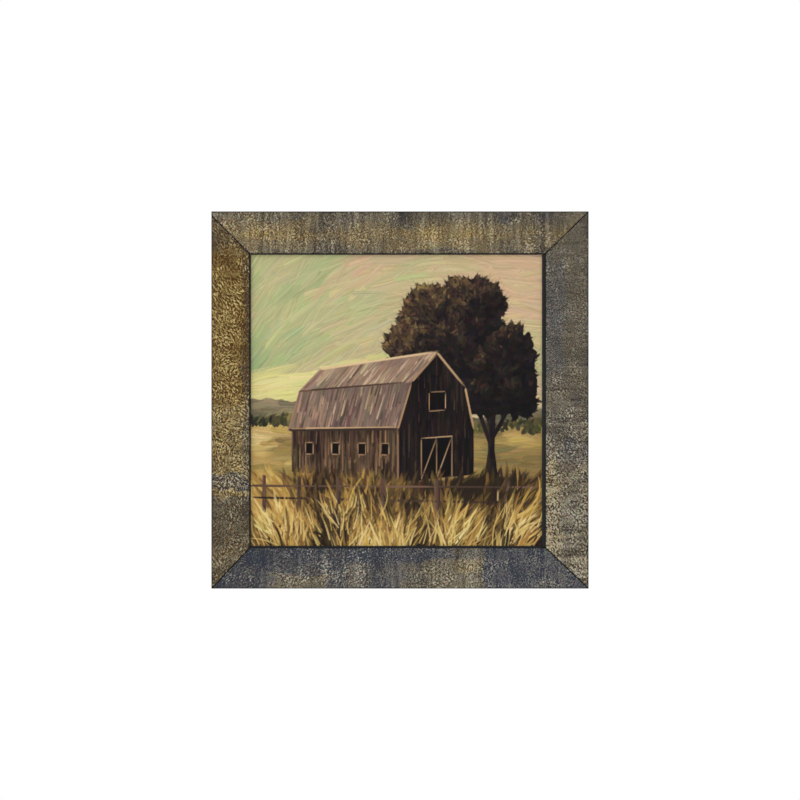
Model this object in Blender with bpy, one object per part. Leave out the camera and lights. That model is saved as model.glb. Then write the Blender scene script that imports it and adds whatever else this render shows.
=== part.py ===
"""A square picture in a rough-sawn wooden frame, ready to hang on a wall.

It faces -Y, with +Z up. The origin is where the nail in the wall carries the
sawtooth hanger: the middle notch of its teeth, on the wall plane y = 0.
Every piece is modelled about the centre of the frame, with y = 0 on the front
face and y growing towards the wall, and one empty carries them all there.

Each rail, slip and fastener is modelled as it lies on the top rail (along X,
outer edge up) and is then turned about Y to its own side of the frame.
"""

import math

import bmesh
import bpy
from mathutils import Matrix, Vector

# Driving dimensions, in metres.
FRAME_SIDE = 0.4572  # 18 in, outer edge to outer edge
FRAME_DEPTH = 0.022  # front face to back face of the moulding
SIGHT_SIDE = 0.3532  # the square of picture that shows
PICTURE_SHIFT = Vector((-0.0043, 0.0, -0.0004))  # the picture sits off centre by this
GAP = 0.0003  # clearance kept between pieces that touch

SIDES = ("top", "right", "bottom", "left")  # clockwise, a quarter turn apart
FACE_WIDTH = {"top": 0.0511, "right": 0.0520, "bottom": 0.0493, "left": 0.0462}
SQUARE_CORNER = "left"  # the corner after this side is cut at 45 degrees from inside
LIP_THICKNESS = 0.0035  # wood left in front of the rabbet
RABBET_WIDTH = 0.0085
EDGE_EASE = 0.0014  # flat taken off the long front edges
ARRIS = 0.0005  # flat taken off every other edge, and along the mitres

SLIP_WIDTH = 0.009  # the black strip inside the opening
SLIP_THICKNESS = 0.002
PRINT_THICKNESS = 0.0005
MOUNT_THICKNESS = 0.003
BACKING_THICKNESS = 0.0025
BOARD_MARGIN = 0.007  # boards reach this far past the sight opening

POINT_SPACING = 0.115
POINT_WIDTH = 0.0095
POINT_THICKNESS = 0.0006
POINT_BITE = 0.005  # how far a point is driven into the rabbet wall
POINT_REACH = 0.0125  # how far it reaches over the boards from that wall
POINT_TAIL = 0.004  # the end that is bent up for the thumb
POINT_LIFT = 0.0014

WEDGE_LEG = 0.008  # V-shaped corner wedges, driven in from the back
WEDGE_THICKNESS = 0.0008
WEDGE_DEPTH = 0.007
WEDGE_PLACES = (0.3, 0.68)  # along the mitre, from the rabbet to the outer corner

HANGER_DROP = 0.026  # outer top edge down to the notch that the nail carries
HANGER_HALF = 0.025
HANGER_RISE = 0.0110  # notch line up to the plate's top edge
HANGER_THICKNESS = 0.0009
HANGER_BOW = 0.0012  # how far the middle stands off the ends
HANGER_BEND = (0.0135, 0.0170)  # the bow falls away between these distances
TOOTH_PITCH = 0.003
TOOTH_DEPTH = 0.0016
TOOTH_COUNT = 8
NAIL_PLACE = 0.021  # each hanger nail's distance from the middle
NAIL_RADIUS = 0.0008
NAIL_LENGTH = 0.011
NAIL_HEAD_RADIUS = 0.0020
NAIL_HEAD_THICKNESS = 0.0007

PAD_THICKNESS = 0.0025
PAD_RADIUS = 0.0055
PAD_INSET = 0.030  # pad centres from the outer sides and from the bottom edge
ROUND_STEPS = 24

HALF = FRAME_SIDE / 2

# Depth of each layer's front, measured back from the front face.
SLIP_FRONT = LIP_THICKNESS + GAP
PRINT_FRONT = SLIP_FRONT + SLIP_THICKNESS + GAP
MOUNT_FRONT = PRINT_FRONT + PRINT_THICKNESS + GAP
BACKING_FRONT = MOUNT_FRONT + MOUNT_THICKNESS + GAP
POINT_FRONT = BACKING_FRONT + BACKING_THICKNESS + GAP
WALL = FRAME_DEPTH + GAP + PAD_THICKNESS


def clear_scene():
    for old in list(bpy.data.objects):
        bpy.data.objects.remove(old, do_unlink=True)


def finish_material(name, colour, roughness, metallic=0.0):
    """A Principled BSDF of one linear colour."""
    made = bpy.data.materials.new(name)
    made.use_nodes = True
    shader = made.node_tree.nodes["Principled BSDF"]
    shader.inputs["Base Color"].default_value = (*colour, 1.0)
    shader.inputs["Roughness"].default_value = roughness
    shader.inputs["Metallic"].default_value = metallic
    made.diffuse_color = (*colour, 1.0)
    return made


def frame_centre():
    """The empty that every piece hangs from, at the centre of the front face."""
    centre = bpy.data.objects.new("frame_centre", None)
    centre.location = (0.0, -WALL, HANGER_DROP - HALF)
    bpy.context.scene.collection.objects.link(centre)
    return centre


def add_piece(name, shape, centre, material=None, turn=0.0):
    """Makes an object from a bmesh, turned about Y and carried by the empty."""
    bmesh.ops.remove_doubles(shape, verts=shape.verts, dist=1e-6)
    bmesh.ops.recalc_face_normals(shape, faces=shape.faces)
    mesh = bpy.data.meshes.new(name)
    shape.to_mesh(mesh)
    shape.free()
    piece = bpy.data.objects.new(name, mesh)
    piece.parent = centre
    piece.rotation_euler = (0.0, turn, 0.0)
    bpy.context.scene.collection.objects.link(piece)
    if material:
        mesh.materials.append(material)
    return piece


def add_cutter(name, shape, centre, turn=0.0):
    cutter = add_piece(name, shape, centre, turn=turn)
    cutter.hide_render = True
    cutter.display_type = "WIRE"
    return cutter


def cut(piece, cutter):
    boolean = piece.modifiers.new("cut_" + cutter.name, "BOOLEAN")
    boolean.operation = "DIFFERENCE"
    boolean.object = cutter


def ease_edges(piece, width):
    """Takes a narrow flat off every sharp edge."""
    bevel = piece.modifiers.new("arris", "BEVEL")
    bevel.width = width
    bevel.segments = 1
    bevel.limit_method = "ANGLE"
    bevel.angle_limit = math.radians(30)


def turn_of(side):
    return SIDES.index(side) * math.pi / 2


def next_side(side):
    return SIDES[(SIDES.index(side) + 1) % len(SIDES)]


def previous_side(side):
    return SIDES[SIDES.index(side) - 1]


def add_box(shape, low, high):
    """Adds the closed box between two corners to the bmesh."""
    low, high = Vector(low), Vector(high)
    place = Matrix.Translation((low + high) / 2)
    place @= Matrix.Diagonal((*(high - low), 1.0))
    bmesh.ops.create_cube(shape, size=1.0, matrix=place)


def add_prism(shape, outline, front, back):
    """Adds a flat outline of (x, z) points, extruded from front to back along Y."""
    corners = [shape.verts.new((x, front, z)) for x, z in outline]
    face = shape.faces.new(corners)
    made = bmesh.ops.extrude_face_region(shape, geom=[face])
    moved = [item for item in made["geom"] if isinstance(item, bmesh.types.BMVert)]
    bmesh.ops.translate(shape, verts=moved, vec=(0.0, back - front, 0.0))


def add_strip(shape, section, half_length):
    """Adds a section of (y, z) points, extruded along X to half_length each way."""
    corners = [shape.verts.new((-half_length, y, z)) for y, z in section]
    face = shape.faces.new(corners)
    made = bmesh.ops.extrude_face_region(shape, geom=[face])
    moved = [item for item in made["geom"] if isinstance(item, bmesh.types.BMVert)]
    bmesh.ops.translate(shape, verts=moved, vec=(2 * half_length, 0.0, 0.0))


def add_turned(shape, profile, centre_x, centre_z):
    """Adds a closed profile of (radius, y) points, turned about an axis along Y."""
    points = [shape.verts.new((centre_x + r, y, centre_z)) for r, y in profile]
    edges = [shape.edges.new(pair) for pair in zip(points, points[1:])]
    bmesh.ops.spin(
        shape,
        geom=points + edges,
        cent=(centre_x, 0.0, centre_z),
        axis=(0.0, 1.0, 0.0),
        angle=2 * math.pi,
        steps=ROUND_STEPS,
        use_merge=True,
    )


def cut_mitre(shape, inner, outer, end):
    """Cuts a strip off along the upright plane through two (x, z) points.

    end is +1 for the end at +X and -1 for the end at -X. Half of the gap is
    left on this side of the joint.
    """
    along = Vector((outer[0] - inner[0], 0.0, outer[1] - inner[1])).normalized()
    away = Vector((along.z, 0.0, -along.x)) * end
    point = Vector((inner[0], 0.0, inner[1])) - away * GAP / 2
    everything = shape.verts[:] + shape.edges[:] + shape.faces[:]
    made = bmesh.ops.bisect_plane(
        shape, geom=everything, plane_co=point, plane_no=away, clear_outer=True
    )
    rim = [item for item in made["geom_cut"] if isinstance(item, bmesh.types.BMEdge)]
    bmesh.ops.contextual_create(shape, geom=rim)


def mitre_points(side, end):
    """The inner and outer (x, z) points of the joint at one end of a rail."""
    other = next_side(side) if end > 0 else previous_side(side)
    inner = (end * (HALF - FACE_WIDTH[other]), HALF - FACE_WIDTH[side])
    first = side if end > 0 else other
    if first == SQUARE_CORNER:
        return inner, (inner[0] + end * HALF, inner[1] + HALF)
    return inner, (end * HALF, HALF)


def make_rail(side, centre, material):
    """A mitred length of moulding: flat face, eased front edges, rabbet behind."""
    outer = HALF
    inner = HALF - FACE_WIDTH[side]
    section = [
        (EDGE_EASE, outer),
        (FRAME_DEPTH, outer),
        (FRAME_DEPTH, inner + RABBET_WIDTH),
        (LIP_THICKNESS, inner + RABBET_WIDTH),
        (LIP_THICKNESS, inner),
        (EDGE_EASE, inner),
        (0.0, inner + EDGE_EASE / 2),
        (0.0, outer - EDGE_EASE),
    ]
    shape = bmesh.new()
    add_strip(shape, section, HALF)
    for end in (-1, 1):
        cut_mitre(shape, *mitre_points(side, end), end)
    rail = add_piece("rail_" + side, shape, centre, material, turn_of(side))
    ease_edges(rail, ARRIS)
    return rail


def make_slip(side, centre, material):
    """One black strip of the inner edge, mitred at 45 degrees at both ends."""
    sight = SIGHT_SIDE / 2
    shift = PICTURE_SHIFT.copy()
    shift.rotate(Matrix.Rotation(-turn_of(side), 3, "Y"))
    section = [
        (SLIP_FRONT, sight),
        (SLIP_FRONT, sight + SLIP_WIDTH),
        (SLIP_FRONT + SLIP_THICKNESS, sight + SLIP_WIDTH),
        (SLIP_FRONT + SLIP_THICKNESS, sight),
    ]
    shape = bmesh.new()
    add_strip(shape, section, sight + SLIP_WIDTH)
    for end in (-1, 1):
        cut_mitre(shape, (end * sight, sight), (end * HALF, HALF), end)
    bmesh.ops.translate(shape, verts=shape.verts, vec=shift)
    slip = add_piece("slip_" + side, shape, centre, material, turn_of(side))
    ease_edges(slip, ARRIS / 2)
    return slip


def make_board(name, front, thickness, margin, centre, material):
    """A square board of the picture, margin wider than the sight on every side."""
    reach = SIGHT_SIDE / 2 + margin
    shape = bmesh.new()
    add_box(shape, (-reach, front, -reach), (reach, front + thickness, reach))
    bmesh.ops.translate(shape, verts=shape.verts, vec=PICTURE_SHIFT)
    return add_piece(name, shape, centre, material)


def point_outline(wall):
    """A framer's point seen from the back: a blade with a driven tip."""
    half = POINT_WIDTH / 2
    return [
        (-half, wall - POINT_REACH),
        (half, wall - POINT_REACH),
        (half, wall - POINT_REACH + POINT_TAIL),
        (half, wall + POINT_BITE * 0.3),
        (0.0, wall + POINT_BITE),
        (-half, wall + POINT_BITE * 0.3),
        (-half, wall - POINT_REACH + POINT_TAIL),
    ]


def make_points(side, centre, rail, material):
    """Three points along a rail, with the slots that they are driven into."""
    wall = HALF - FACE_WIDTH[side] + RABBET_WIDTH
    back = POINT_FRONT + POINT_THICKNESS
    slots = bmesh.new()
    for number in range(3):
        along = (number - 1) * POINT_SPACING
        shape = bmesh.new()
        outline = point_outline(wall)
        tail, blade = outline[:3] + outline[-1:], outline[2:]
        for part in (tail, blade):
            add_prism(shape, [(along + x, z) for x, z in part], POINT_FRONT, back)
        bmesh.ops.remove_doubles(shape, verts=shape.verts, dist=1e-6)
        remove_inner_faces(shape)
        for vert in shape.verts:
            if vert.co.z < wall - POINT_REACH + POINT_TAIL / 2:
                vert.co.y += POINT_LIFT
        add_piece(f"point_{side}_{number + 1}", shape, centre, material, turn_of(side))
        half = POINT_WIDTH / 2 + GAP
        low = (along - half, POINT_FRONT - GAP, wall - POINT_BITE)
        high = (along + half, back + GAP, wall + POINT_BITE + GAP)
        add_box(slots, low, high)
    cut(rail, add_cutter("slots_" + side, slots, centre, turn_of(side)))


def remove_inner_faces(shape):
    """Removes the two faces, one on the other, where joined prisms meet."""
    inner = [face for face in shape.faces if all(len(e.link_faces) > 2 for e in face.edges)]
    bmesh.ops.delete(shape, geom=inner, context="FACES")


def wedge_outline(apex, leg, thickness, clearance):
    """A V of two legs at a right angle, with its point at the apex."""
    x, z = apex[0] - clearance, apex[1] - clearance
    reach, wide = leg + 2 * clearance, thickness + 2 * clearance
    return [
        (x, z),
        (x + reach, z),
        (x + reach, z + wide),
        (x + wide, z + wide),
        (x + wide, z + reach),
        (x, z + reach),
    ]


def make_wedges(side, centre, rails, material):
    """Two wedges across the joint after a rail, and the slots for them."""
    inner, _ = mitre_points(side, 1)
    start = Vector((inner[0] + RABBET_WIDTH, inner[1] + RABBET_WIDTH))
    run = Vector((HALF, HALF)) - start
    slots = bmesh.new()
    for number, share in enumerate(WEDGE_PLACES):
        apex = start + run * share
        top = FRAME_DEPTH - WEDGE_DEPTH
        shape = bmesh.new()
        outline = wedge_outline(apex, WEDGE_LEG, WEDGE_THICKNESS, 0.0)
        add_prism(shape, outline, top, FRAME_DEPTH)
        add_piece(f"wedge_{side}_{number + 1}", shape, centre, material, turn_of(side))
        wider = wedge_outline(apex, WEDGE_LEG, WEDGE_THICKNESS, GAP)
        add_prism(slots, wider, top - GAP, FRAME_DEPTH + WEDGE_DEPTH)
    cutter = add_cutter("wedge_slots_" + side, slots, centre, turn_of(side))
    cut(rails[side], cutter)
    cut(rails[next_side(side)], cutter)


def hanger_columns():
    """The plate as columns of (x, bottom z, top z), left to right.

    Both ends are rounded to a half circle, and the middle's lower edge is cut
    into teeth with a notch at x = 0. Heights count from the notch line.
    """
    radius = HANGER_RISE / 2
    middle = radius
    columns = []
    for step in range(7):
        angle = math.radians(15 * step)
        x = HANGER_HALF - radius * math.cos(math.pi / 2 - angle)
        rise = radius * math.sin(math.pi / 2 - angle)
        columns.append((x, middle - rise, middle + rise))
    columns.append((HANGER_BEND[1], 0.0, HANGER_RISE))
    columns.append((HANGER_BEND[0], 0.0, HANGER_RISE))
    for step in range(TOOTH_COUNT, 0, -1):
        x = step * TOOTH_PITCH / 2
        tooth = TOOTH_DEPTH if step % 2 else 0.0
        columns.append((x, -tooth, HANGER_RISE))
    right = [column for column in columns if column[2] - column[1] > ARRIS]
    right.sort()
    left = [(-x, bottom, top) for x, bottom, top in reversed(right)]
    return left + [(0.0, 0.0, HANGER_RISE)] + right


def hanger_stand_off(x):
    """How far the plate stands off its own ends: a smooth step to the bow."""
    near, far = HANGER_BEND
    share = min(max((far - abs(x)) / (far - near), 0.0), 1.0)
    return HANGER_BOW * share * share * (3 - 2 * share)


def make_hanger(centre, rail, material):
    """The sawtooth hanger and its two nails, on the back of the top rail."""
    notch = HALF - HANGER_DROP
    seat = FRAME_DEPTH + GAP
    shape = bmesh.new()
    rings = []
    for x, bottom, top in hanger_columns():
        front = seat + hanger_stand_off(x)
        back = front + HANGER_THICKNESS
        corners = [(front, bottom), (back, bottom), (back, top), (front, top)]
        rings.append([shape.verts.new((x, y, notch + z)) for y, z in corners])
    for one, two in zip(rings, rings[1:]):
        for k in range(4):
            following = (k + 1) % 4
            shape.faces.new((one[k], one[following], two[following], two[k]))
    shape.faces.new(rings[0])
    shape.faces.new(rings[-1])
    hanger = add_piece("hanger", shape, centre, material)

    middle = notch + HANGER_RISE / 2
    wood_holes, plate_holes = bmesh.new(), bmesh.new()
    clear = NAIL_RADIUS + GAP
    for name, x in (("left", -NAIL_PLACE), ("right", NAIL_PLACE)):
        under_head = seat + HANGER_THICKNESS + GAP
        tip = FRAME_DEPTH - NAIL_LENGTH
        nail = bmesh.new()
        profile = [
            (0.0, tip),
            (NAIL_RADIUS, tip + 2 * NAIL_RADIUS),
            (NAIL_RADIUS, under_head),
            (NAIL_HEAD_RADIUS, under_head),
            (NAIL_HEAD_RADIUS, under_head + NAIL_HEAD_THICKNESS / 2),
            (NAIL_HEAD_RADIUS * 0.6, under_head + NAIL_HEAD_THICKNESS),
            (0.0, under_head + NAIL_HEAD_THICKNESS),
        ]
        add_turned(nail, profile, x, middle)
        add_piece("hanger_nail_" + name, nail, centre, material)
        for holes, front, back in (
            (wood_holes, tip - GAP, FRAME_DEPTH + NAIL_LENGTH),
            (plate_holes, FRAME_DEPTH, FRAME_DEPTH + NAIL_LENGTH),
        ):
            add_turned(holes, [(0.0, front), (clear, front), (clear, back), (0.0, back)], x, middle)
    cut(rail, add_cutter("nail_holes_wood", wood_holes, centre))
    cut(hanger, add_cutter("nail_holes_plate", plate_holes, centre))


def make_pads(centre, material):
    """Two rubber pads on the bottom rail, which hold the frame off the wall."""
    front = FRAME_DEPTH + GAP
    ease = PAD_THICKNESS * 0.2
    profile = [
        (0.0, front),
        (PAD_RADIUS, front),
        (PAD_RADIUS, WALL - ease),
        (PAD_RADIUS - ease, WALL),
        (0.0, WALL),
    ]
    for name, end in (("left", -1), ("right", 1)):
        shape = bmesh.new()
        add_turned(shape, profile, end * (HALF - PAD_INSET), PAD_INSET - HALF)
        add_piece("pad_" + name, shape, centre, material)


def make_picture(centre, art, board, hardboard):
    margin = BOARD_MARGIN
    make_board("print_sheet", PRINT_FRONT, PRINT_THICKNESS, margin, centre, art)
    make_board("mount_board", MOUNT_FRONT, MOUNT_THICKNESS, margin, centre, board)
    make_board("backing_board", BACKING_FRONT, BACKING_THICKNESS, margin, centre, hardboard)


def main():
    clear_scene()
    wood = finish_material("rubbed_wood", (0.135, 0.115, 0.075), 0.6)
    black = finish_material("black_paint", (0.010, 0.013, 0.015), 0.5)
    art = finish_material("print_face", (0.30, 0.22, 0.12), 0.55)
    board = finish_material("grey_board", (0.45, 0.42, 0.37), 0.85)
    hardboard = finish_material("hardboard", (0.14, 0.075, 0.035), 0.7)
    steel = finish_material("zinc_steel", (0.55, 0.55, 0.53), 0.35, 1.0)
    rubber = finish_material("rubber", (0.02, 0.02, 0.02), 0.8)

    centre = frame_centre()
    rails = {side: make_rail(side, centre, wood) for side in SIDES}
    for side in SIDES:
        make_slip(side, centre, black)
        make_points(side, centre, rails[side], steel)
        make_wedges(side, centre, rails, steel)
    make_picture(centre, art, board, hardboard)
    make_hanger(centre, rails["top"], steel)
    make_pads(centre, rubber)


main()
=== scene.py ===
"""Looks of a square picture in a rough-sawn wooden frame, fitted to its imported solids.

Laid out as an add-on: sizes and colours are properties, each group of pieces has
its operator, and a panel in the 3D view's sidebar lists them. Run as a script, it
makes everything in order.

The picture faces -Y, with +Z up. Each rail, slip and fastener is worked out as it
lies on the top rail, about the centre of the front face: x runs along the rail,
z grows to the outer edge and y grows towards the wall. Quarter turns about Y then
carry it to its own side.
"""

import math
from collections import namedtuple

import bpy
import numpy as np
from bpy.props import FloatProperty, FloatVectorProperty, IntProperty, PointerProperty
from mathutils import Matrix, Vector


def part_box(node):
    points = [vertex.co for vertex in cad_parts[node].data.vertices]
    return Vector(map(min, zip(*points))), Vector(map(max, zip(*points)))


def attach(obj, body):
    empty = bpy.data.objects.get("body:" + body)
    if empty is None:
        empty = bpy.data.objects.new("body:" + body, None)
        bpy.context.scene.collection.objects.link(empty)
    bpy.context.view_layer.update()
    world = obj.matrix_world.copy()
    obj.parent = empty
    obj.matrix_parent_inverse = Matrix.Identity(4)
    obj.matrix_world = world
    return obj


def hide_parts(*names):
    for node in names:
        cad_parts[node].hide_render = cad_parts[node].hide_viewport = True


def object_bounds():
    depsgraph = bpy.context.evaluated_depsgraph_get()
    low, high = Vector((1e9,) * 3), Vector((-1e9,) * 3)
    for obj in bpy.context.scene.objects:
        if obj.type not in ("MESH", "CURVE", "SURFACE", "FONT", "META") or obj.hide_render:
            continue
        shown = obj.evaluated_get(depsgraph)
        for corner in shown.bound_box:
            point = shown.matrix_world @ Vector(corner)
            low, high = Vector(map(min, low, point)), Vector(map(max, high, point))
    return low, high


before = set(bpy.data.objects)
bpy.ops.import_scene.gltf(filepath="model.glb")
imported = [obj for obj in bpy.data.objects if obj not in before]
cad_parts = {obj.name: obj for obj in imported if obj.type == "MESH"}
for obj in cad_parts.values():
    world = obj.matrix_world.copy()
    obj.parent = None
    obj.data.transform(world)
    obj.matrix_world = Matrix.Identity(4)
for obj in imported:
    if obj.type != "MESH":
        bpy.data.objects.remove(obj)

bl_info = {
    "name": "Framed Picture",
    "version": (1, 0, 0),
    "blender": (4, 5, 0),
    "location": "View3D > Sidebar > Framed Picture",
    "description": "Makes the finished surfaces of a square picture in a rough-sawn frame",
    "category": "Object",
}

CAD_LOW, CAD_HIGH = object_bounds()

MM = 0.001
SIDES = ("top", "right", "bottom", "left")  # clockwise, a quarter turn apart
TURNS = dict(zip(SIDES, ((1, 0), (0, 1), (-1, 0), (0, -1))))  # cosine and sine
HALF = (CAD_HIGH.x - CAD_LOW.x) / 2
CENTRE = np.array([0.0, CAD_LOW.y, (CAD_LOW.z + CAD_HIGH.z) / 2])
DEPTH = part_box("rail_top")[1].y - CAD_LOW.y  # of the moulding, front to back
FACE = {  # the width of each rail's face
    "top": CAD_HIGH.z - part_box("rail_top")[0].z,
    "right": CAD_HIGH.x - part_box("rail_right")[0].x,
    "bottom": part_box("rail_bottom")[1].z - CAD_LOW.z,
    "left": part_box("rail_left")[1].x - CAD_LOW.x,
}
SQUARE_CORNER = "left"  # the joint after this side runs at 45 degrees from inside
JOINT = 0.03 * MM  # between the rails where they are glued
LIP = 3.5 * MM  # wood in front of the rabbet
RABBET = 8.5 * MM  # width of the step that holds the picture


# Colours and properties.


def shares(text):
    """The red, green and blue of an sRGB hex value such as "#c8b070", from 0 to 1."""
    return np.array([int(text[k : k + 2], 16) for k in (1, 3, 5)]) / 255


def linear(colour):
    """Linear values of an sRGB hex text or of an array of sRGB shares."""
    share = shares(colour) if isinstance(colour, str) else colour
    return np.where(share <= 0.04045, share / 12.92, ((share + 0.055) / 1.055) ** 2.4)


def length_property(name, description, default):
    """A length in metres, shown to a hundredth of a millimetre."""
    return FloatProperty(
        name=name, description=description, default=default, unit="LENGTH", precision=5
    )


def share_property(name, description, default):
    """A factor that is 1 at its usual strength."""
    return FloatProperty(
        name=name, description=description, default=default, min=0.0, max=4.0, subtype="FACTOR"
    )


def colour_property(name, description, default):
    """A colour whose default is an sRGB hex value."""
    return FloatVectorProperty(
        name=name,
        description=description,
        default=tuple(linear(default)),
        min=0.0,
        max=1.0,
        subtype="COLOR",
    )


class FrameFinish(bpy.types.PropertyGroup):
    """Sizes and colours of the sawn and rubbed rails."""

    seed: IntProperty(name="Seed", description="Picks another board", default=3)
    fleck_width: length_property(
        "Fleck width", "Width of the torn fibres that catch the rubbed paint", 0.37 * MM
    )
    fleck_length: length_property("Fleck length", "How far a torn fibre runs", 1.5 * MM)
    fibre_height: length_property("Fibre height", "Spread of the torn fibres' height", 0.05 * MM)
    saw_depth: length_property("Saw mark depth", "Spread of the saw marks' depth", 0.07 * MM)
    umber: colour_property("Umber wash", "Brown wash soaked into the wood", "#3e3528")
    ochre: colour_property("Ochre wash", "Warmer wash under the gold", "#4b3211")
    slate: colour_property("Slate wash", "Blue-grey wash over parts of it", "#2e333f")
    pewter: colour_property("Pewter rub", "Pale grey paint rubbed over the fibres", "#b8b2a2")
    gold: colour_property("Gold rub", "Bronze paint rubbed over the fibres", "#ccb169")
    # Near-black colour that the rails take along their outer and inner edges and across the
    # joints.
    edge_darkening: colour_property("Burnt edge", "Stain along edges and joints", "#0f0e10")
    raw: colour_property("Raw pine", "Unpainted wood at the back", "#c9a574")
    rub: share_property("Rubbed paint", "How much of the rubbed paint is kept", 1.4)


class PaintingSettings(bpy.types.PropertyGroup):
    """How the printed painting is brushed."""

    seed: IntProperty(name="Seed", description="Picks other strokes", default=11)
    brush: share_property("Brush width", "Share of the strokes' usual width", 1.0)
    streak: share_property("Bristle marks", "How much the bristles' tones differ", 0.05)
    paper: colour_property("Paper", "Edges and back of the sheet", "#efece2")
    tooth: length_property("Paper tooth", "Height of the paper's grain", 0.03 * MM)


class BackSettings(bpy.types.PropertyGroup):
    """Colours and sizes of the slips, boards and fasteners."""

    black: colour_property("Slip paint", "Black paint of the inner slips", "#0c1013")
    hardboard: colour_property("Hardboard", "Pressed board at the back", "#6e4f33")
    greyboard: colour_property("Greyboard", "Board behind the print", "#cdc8bc")
    zinc: colour_property("Zinc", "Plating of the fasteners", "#c6c6c2")
    rubber: colour_property("Rubber", "Wall pads", "#232323")
    crown: length_property("Board crown", "How far the hardboard bulges", 0.5 * MM)
    mesh_pitch: length_property("Screen pitch", "Of the pattern in the board", 1.4 * MM)


class StageSettings(bpy.types.PropertyGroup):
    """The floor, the light and the camera."""

    hang_height: length_property("Hang height", "Centre of the picture above the floor", 1.45)
    floor_radius: length_property("Floor radius", "Of the round pale floor", 5.5)
    camera_distance: length_property("Camera distance", "From the front face", 4.0)
    field: length_property("Field", "Width of the view at the front face", 0.9694)
    sky: share_property("Even light", "Strength of the light from all round", 0.82)
    key: FloatProperty(name="Key light", description="Power of the key light", default=34.0)
    fill: FloatProperty(name="Fill light", description="Power of the fill light", default=6.0)


# Meshes.


def build(name, points, faces, sharp=35.0):
    """A mesh object of the points and of arrays of faces, each of shape (count, corners).

    The faces are turned round if the volume that they hold comes out negative.
    """
    points = np.ascontiguousarray(points, dtype=np.float64).reshape(-1, 3)
    volume = 0.0
    for group in faces:
        first = points[group[:, 0]]
        for k in range(1, group.shape[1] - 1):
            across = np.cross(points[group[:, k]], points[group[:, k + 1]])
            volume += np.einsum("ij,ij->", first, across)
    if volume < 0:
        faces = [group[:, ::-1] for group in faces]
    corners = np.concatenate([group.ravel() for group in faces])
    totals = np.concatenate([np.full(len(group), group.shape[1]) for group in faces])
    mesh = bpy.data.meshes.new(name)
    mesh.vertices.add(len(points))
    mesh.vertices.foreach_set("co", points.ravel().astype(np.float32))
    mesh.loops.add(len(corners))
    mesh.loops.foreach_set("vertex_index", corners.astype(np.int32))
    mesh.polygons.add(len(totals))
    mesh.polygons.foreach_set("loop_start", (np.cumsum(totals) - totals).astype(np.int32))
    mesh.update(calc_edges=True)
    mesh.validate()
    mesh.shade_smooth()
    mesh.set_sharp_from_angle(angle=math.radians(sharp))
    piece = bpy.data.objects.new(name, mesh)
    bpy.context.scene.collection.objects.link(piece)
    return piece


def cells(index):
    """The four-cornered faces between the neighbours of a grid of point numbers."""
    corners = [index[:-1, :-1], index[:-1, 1:], index[1:, 1:], index[1:, :-1]]
    return np.stack(corners, -1).reshape(-1, 4)


def closed_rows(rows, columns):
    """Point numbers of a grid whose last row is the first one again."""
    index = np.arange(rows * columns).reshape(rows, columns)
    return np.vstack([index, index[:1]])


def travelled(path):
    """How far along a path of points each of them lies."""
    return np.linalg.norm(np.diff(path, axis=0, prepend=path[:1]), axis=1).cumsum()


def tube(name, points, sharp=35.0):
    """A closed tube from a grid of (rows round, columns along) points, with flat ends.

    Its UV map "grain" is metres along and metres round it.
    """
    rows, columns = points.shape[:2]
    index = closed_rows(rows, columns)
    faces = [cells(index), index[None, :-1, 0], index[None, -2::-1, -1]]
    piece = build(name, points, faces, sharp)
    along = travelled(points.mean(0))
    around = travelled(points[:, columns // 2])
    row, column = np.divmod(corner_vertices(piece), columns)
    corner_map(piece, "grain", np.stack([along[column], around[row]], -1))
    return piece


def turn(points, side):
    """Quarter turns about Y from the top rail to a side, then out to the frame's place."""
    cosine, sine = TURNS[side]
    x, y, z = np.moveaxis(points, -1, 0)
    return np.stack([x * cosine + z * sine, y, z * cosine - x * sine], -1) + CENTRE


def side_box(node, side):
    """A CAD node's lowest and highest corners as they lie on the top rail."""
    cosine, sine = TURNS[side]
    x, y, z = (np.array(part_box(node)) - CENTRE).T
    turned_back = np.stack([x * cosine - z * sine, y, x * sine + z * cosine], -1)
    return turned_back.min(0), turned_back.max(0)


def place(piece, material, slot, *nodes):
    """Gives a piece its material and its body, and hides the CAD nodes it stands for. The slot is
    not used.
    """
    piece.data.materials.append(material)
    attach(piece, "root")
    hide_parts(*nodes)
    return piece


def point_attribute(piece, name, values):
    """Gives each point of a piece a number for its material to read."""
    layer = piece.data.attributes.new(name, "FLOAT", "POINT")
    layer.data.foreach_set("value", np.ravel(values).astype(np.float32))


def corner_map(piece, name, places):
    """A UV map from one (u, v) for each corner of each face."""
    layer = piece.data.uv_layers.new(name=name)
    layer.uv.foreach_set("vector", np.ravel(places).astype(np.float32))


def corner_vertices(piece):
    """The number of the point at each corner of each face."""
    corners = np.empty(len(piece.data.loops), np.int32)
    piece.data.loops.foreach_get("vertex_index", corners)
    return corners


def face_of_corner(piece):
    """The number of the face that each corner belongs to."""
    totals = np.empty(len(piece.data.polygons), np.int32)
    piece.data.polygons.foreach_get("loop_total", totals)
    return np.repeat(np.arange(len(totals)), totals)


def ramp(low, high, value):
    """0 below low, 1 above high and straight between them."""
    return np.clip((value - low) / (high - low), 0, 1)


def smoothstep(low, high, value):
    """0 below low, 1 above high and a smooth S between them."""
    share = ramp(low, high, value)
    return share * share * (3 - 2 * share)


# Maps of the finish, drawn on a raster that covers a rail.

RASTER = 0.5 * MM  # between samples
MAP_SHAPE = (160, 960)  # 80 mm round the face and side, 480 mm along
MAP_EDGE = (6.0 * MM, 11.4 * MM)  # the inner edge's row and the left end's column


def unit(field):
    """A field moved and scaled to a mean of 0 and a spread of 1."""
    return (field - field.mean()) / field.std()


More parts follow.
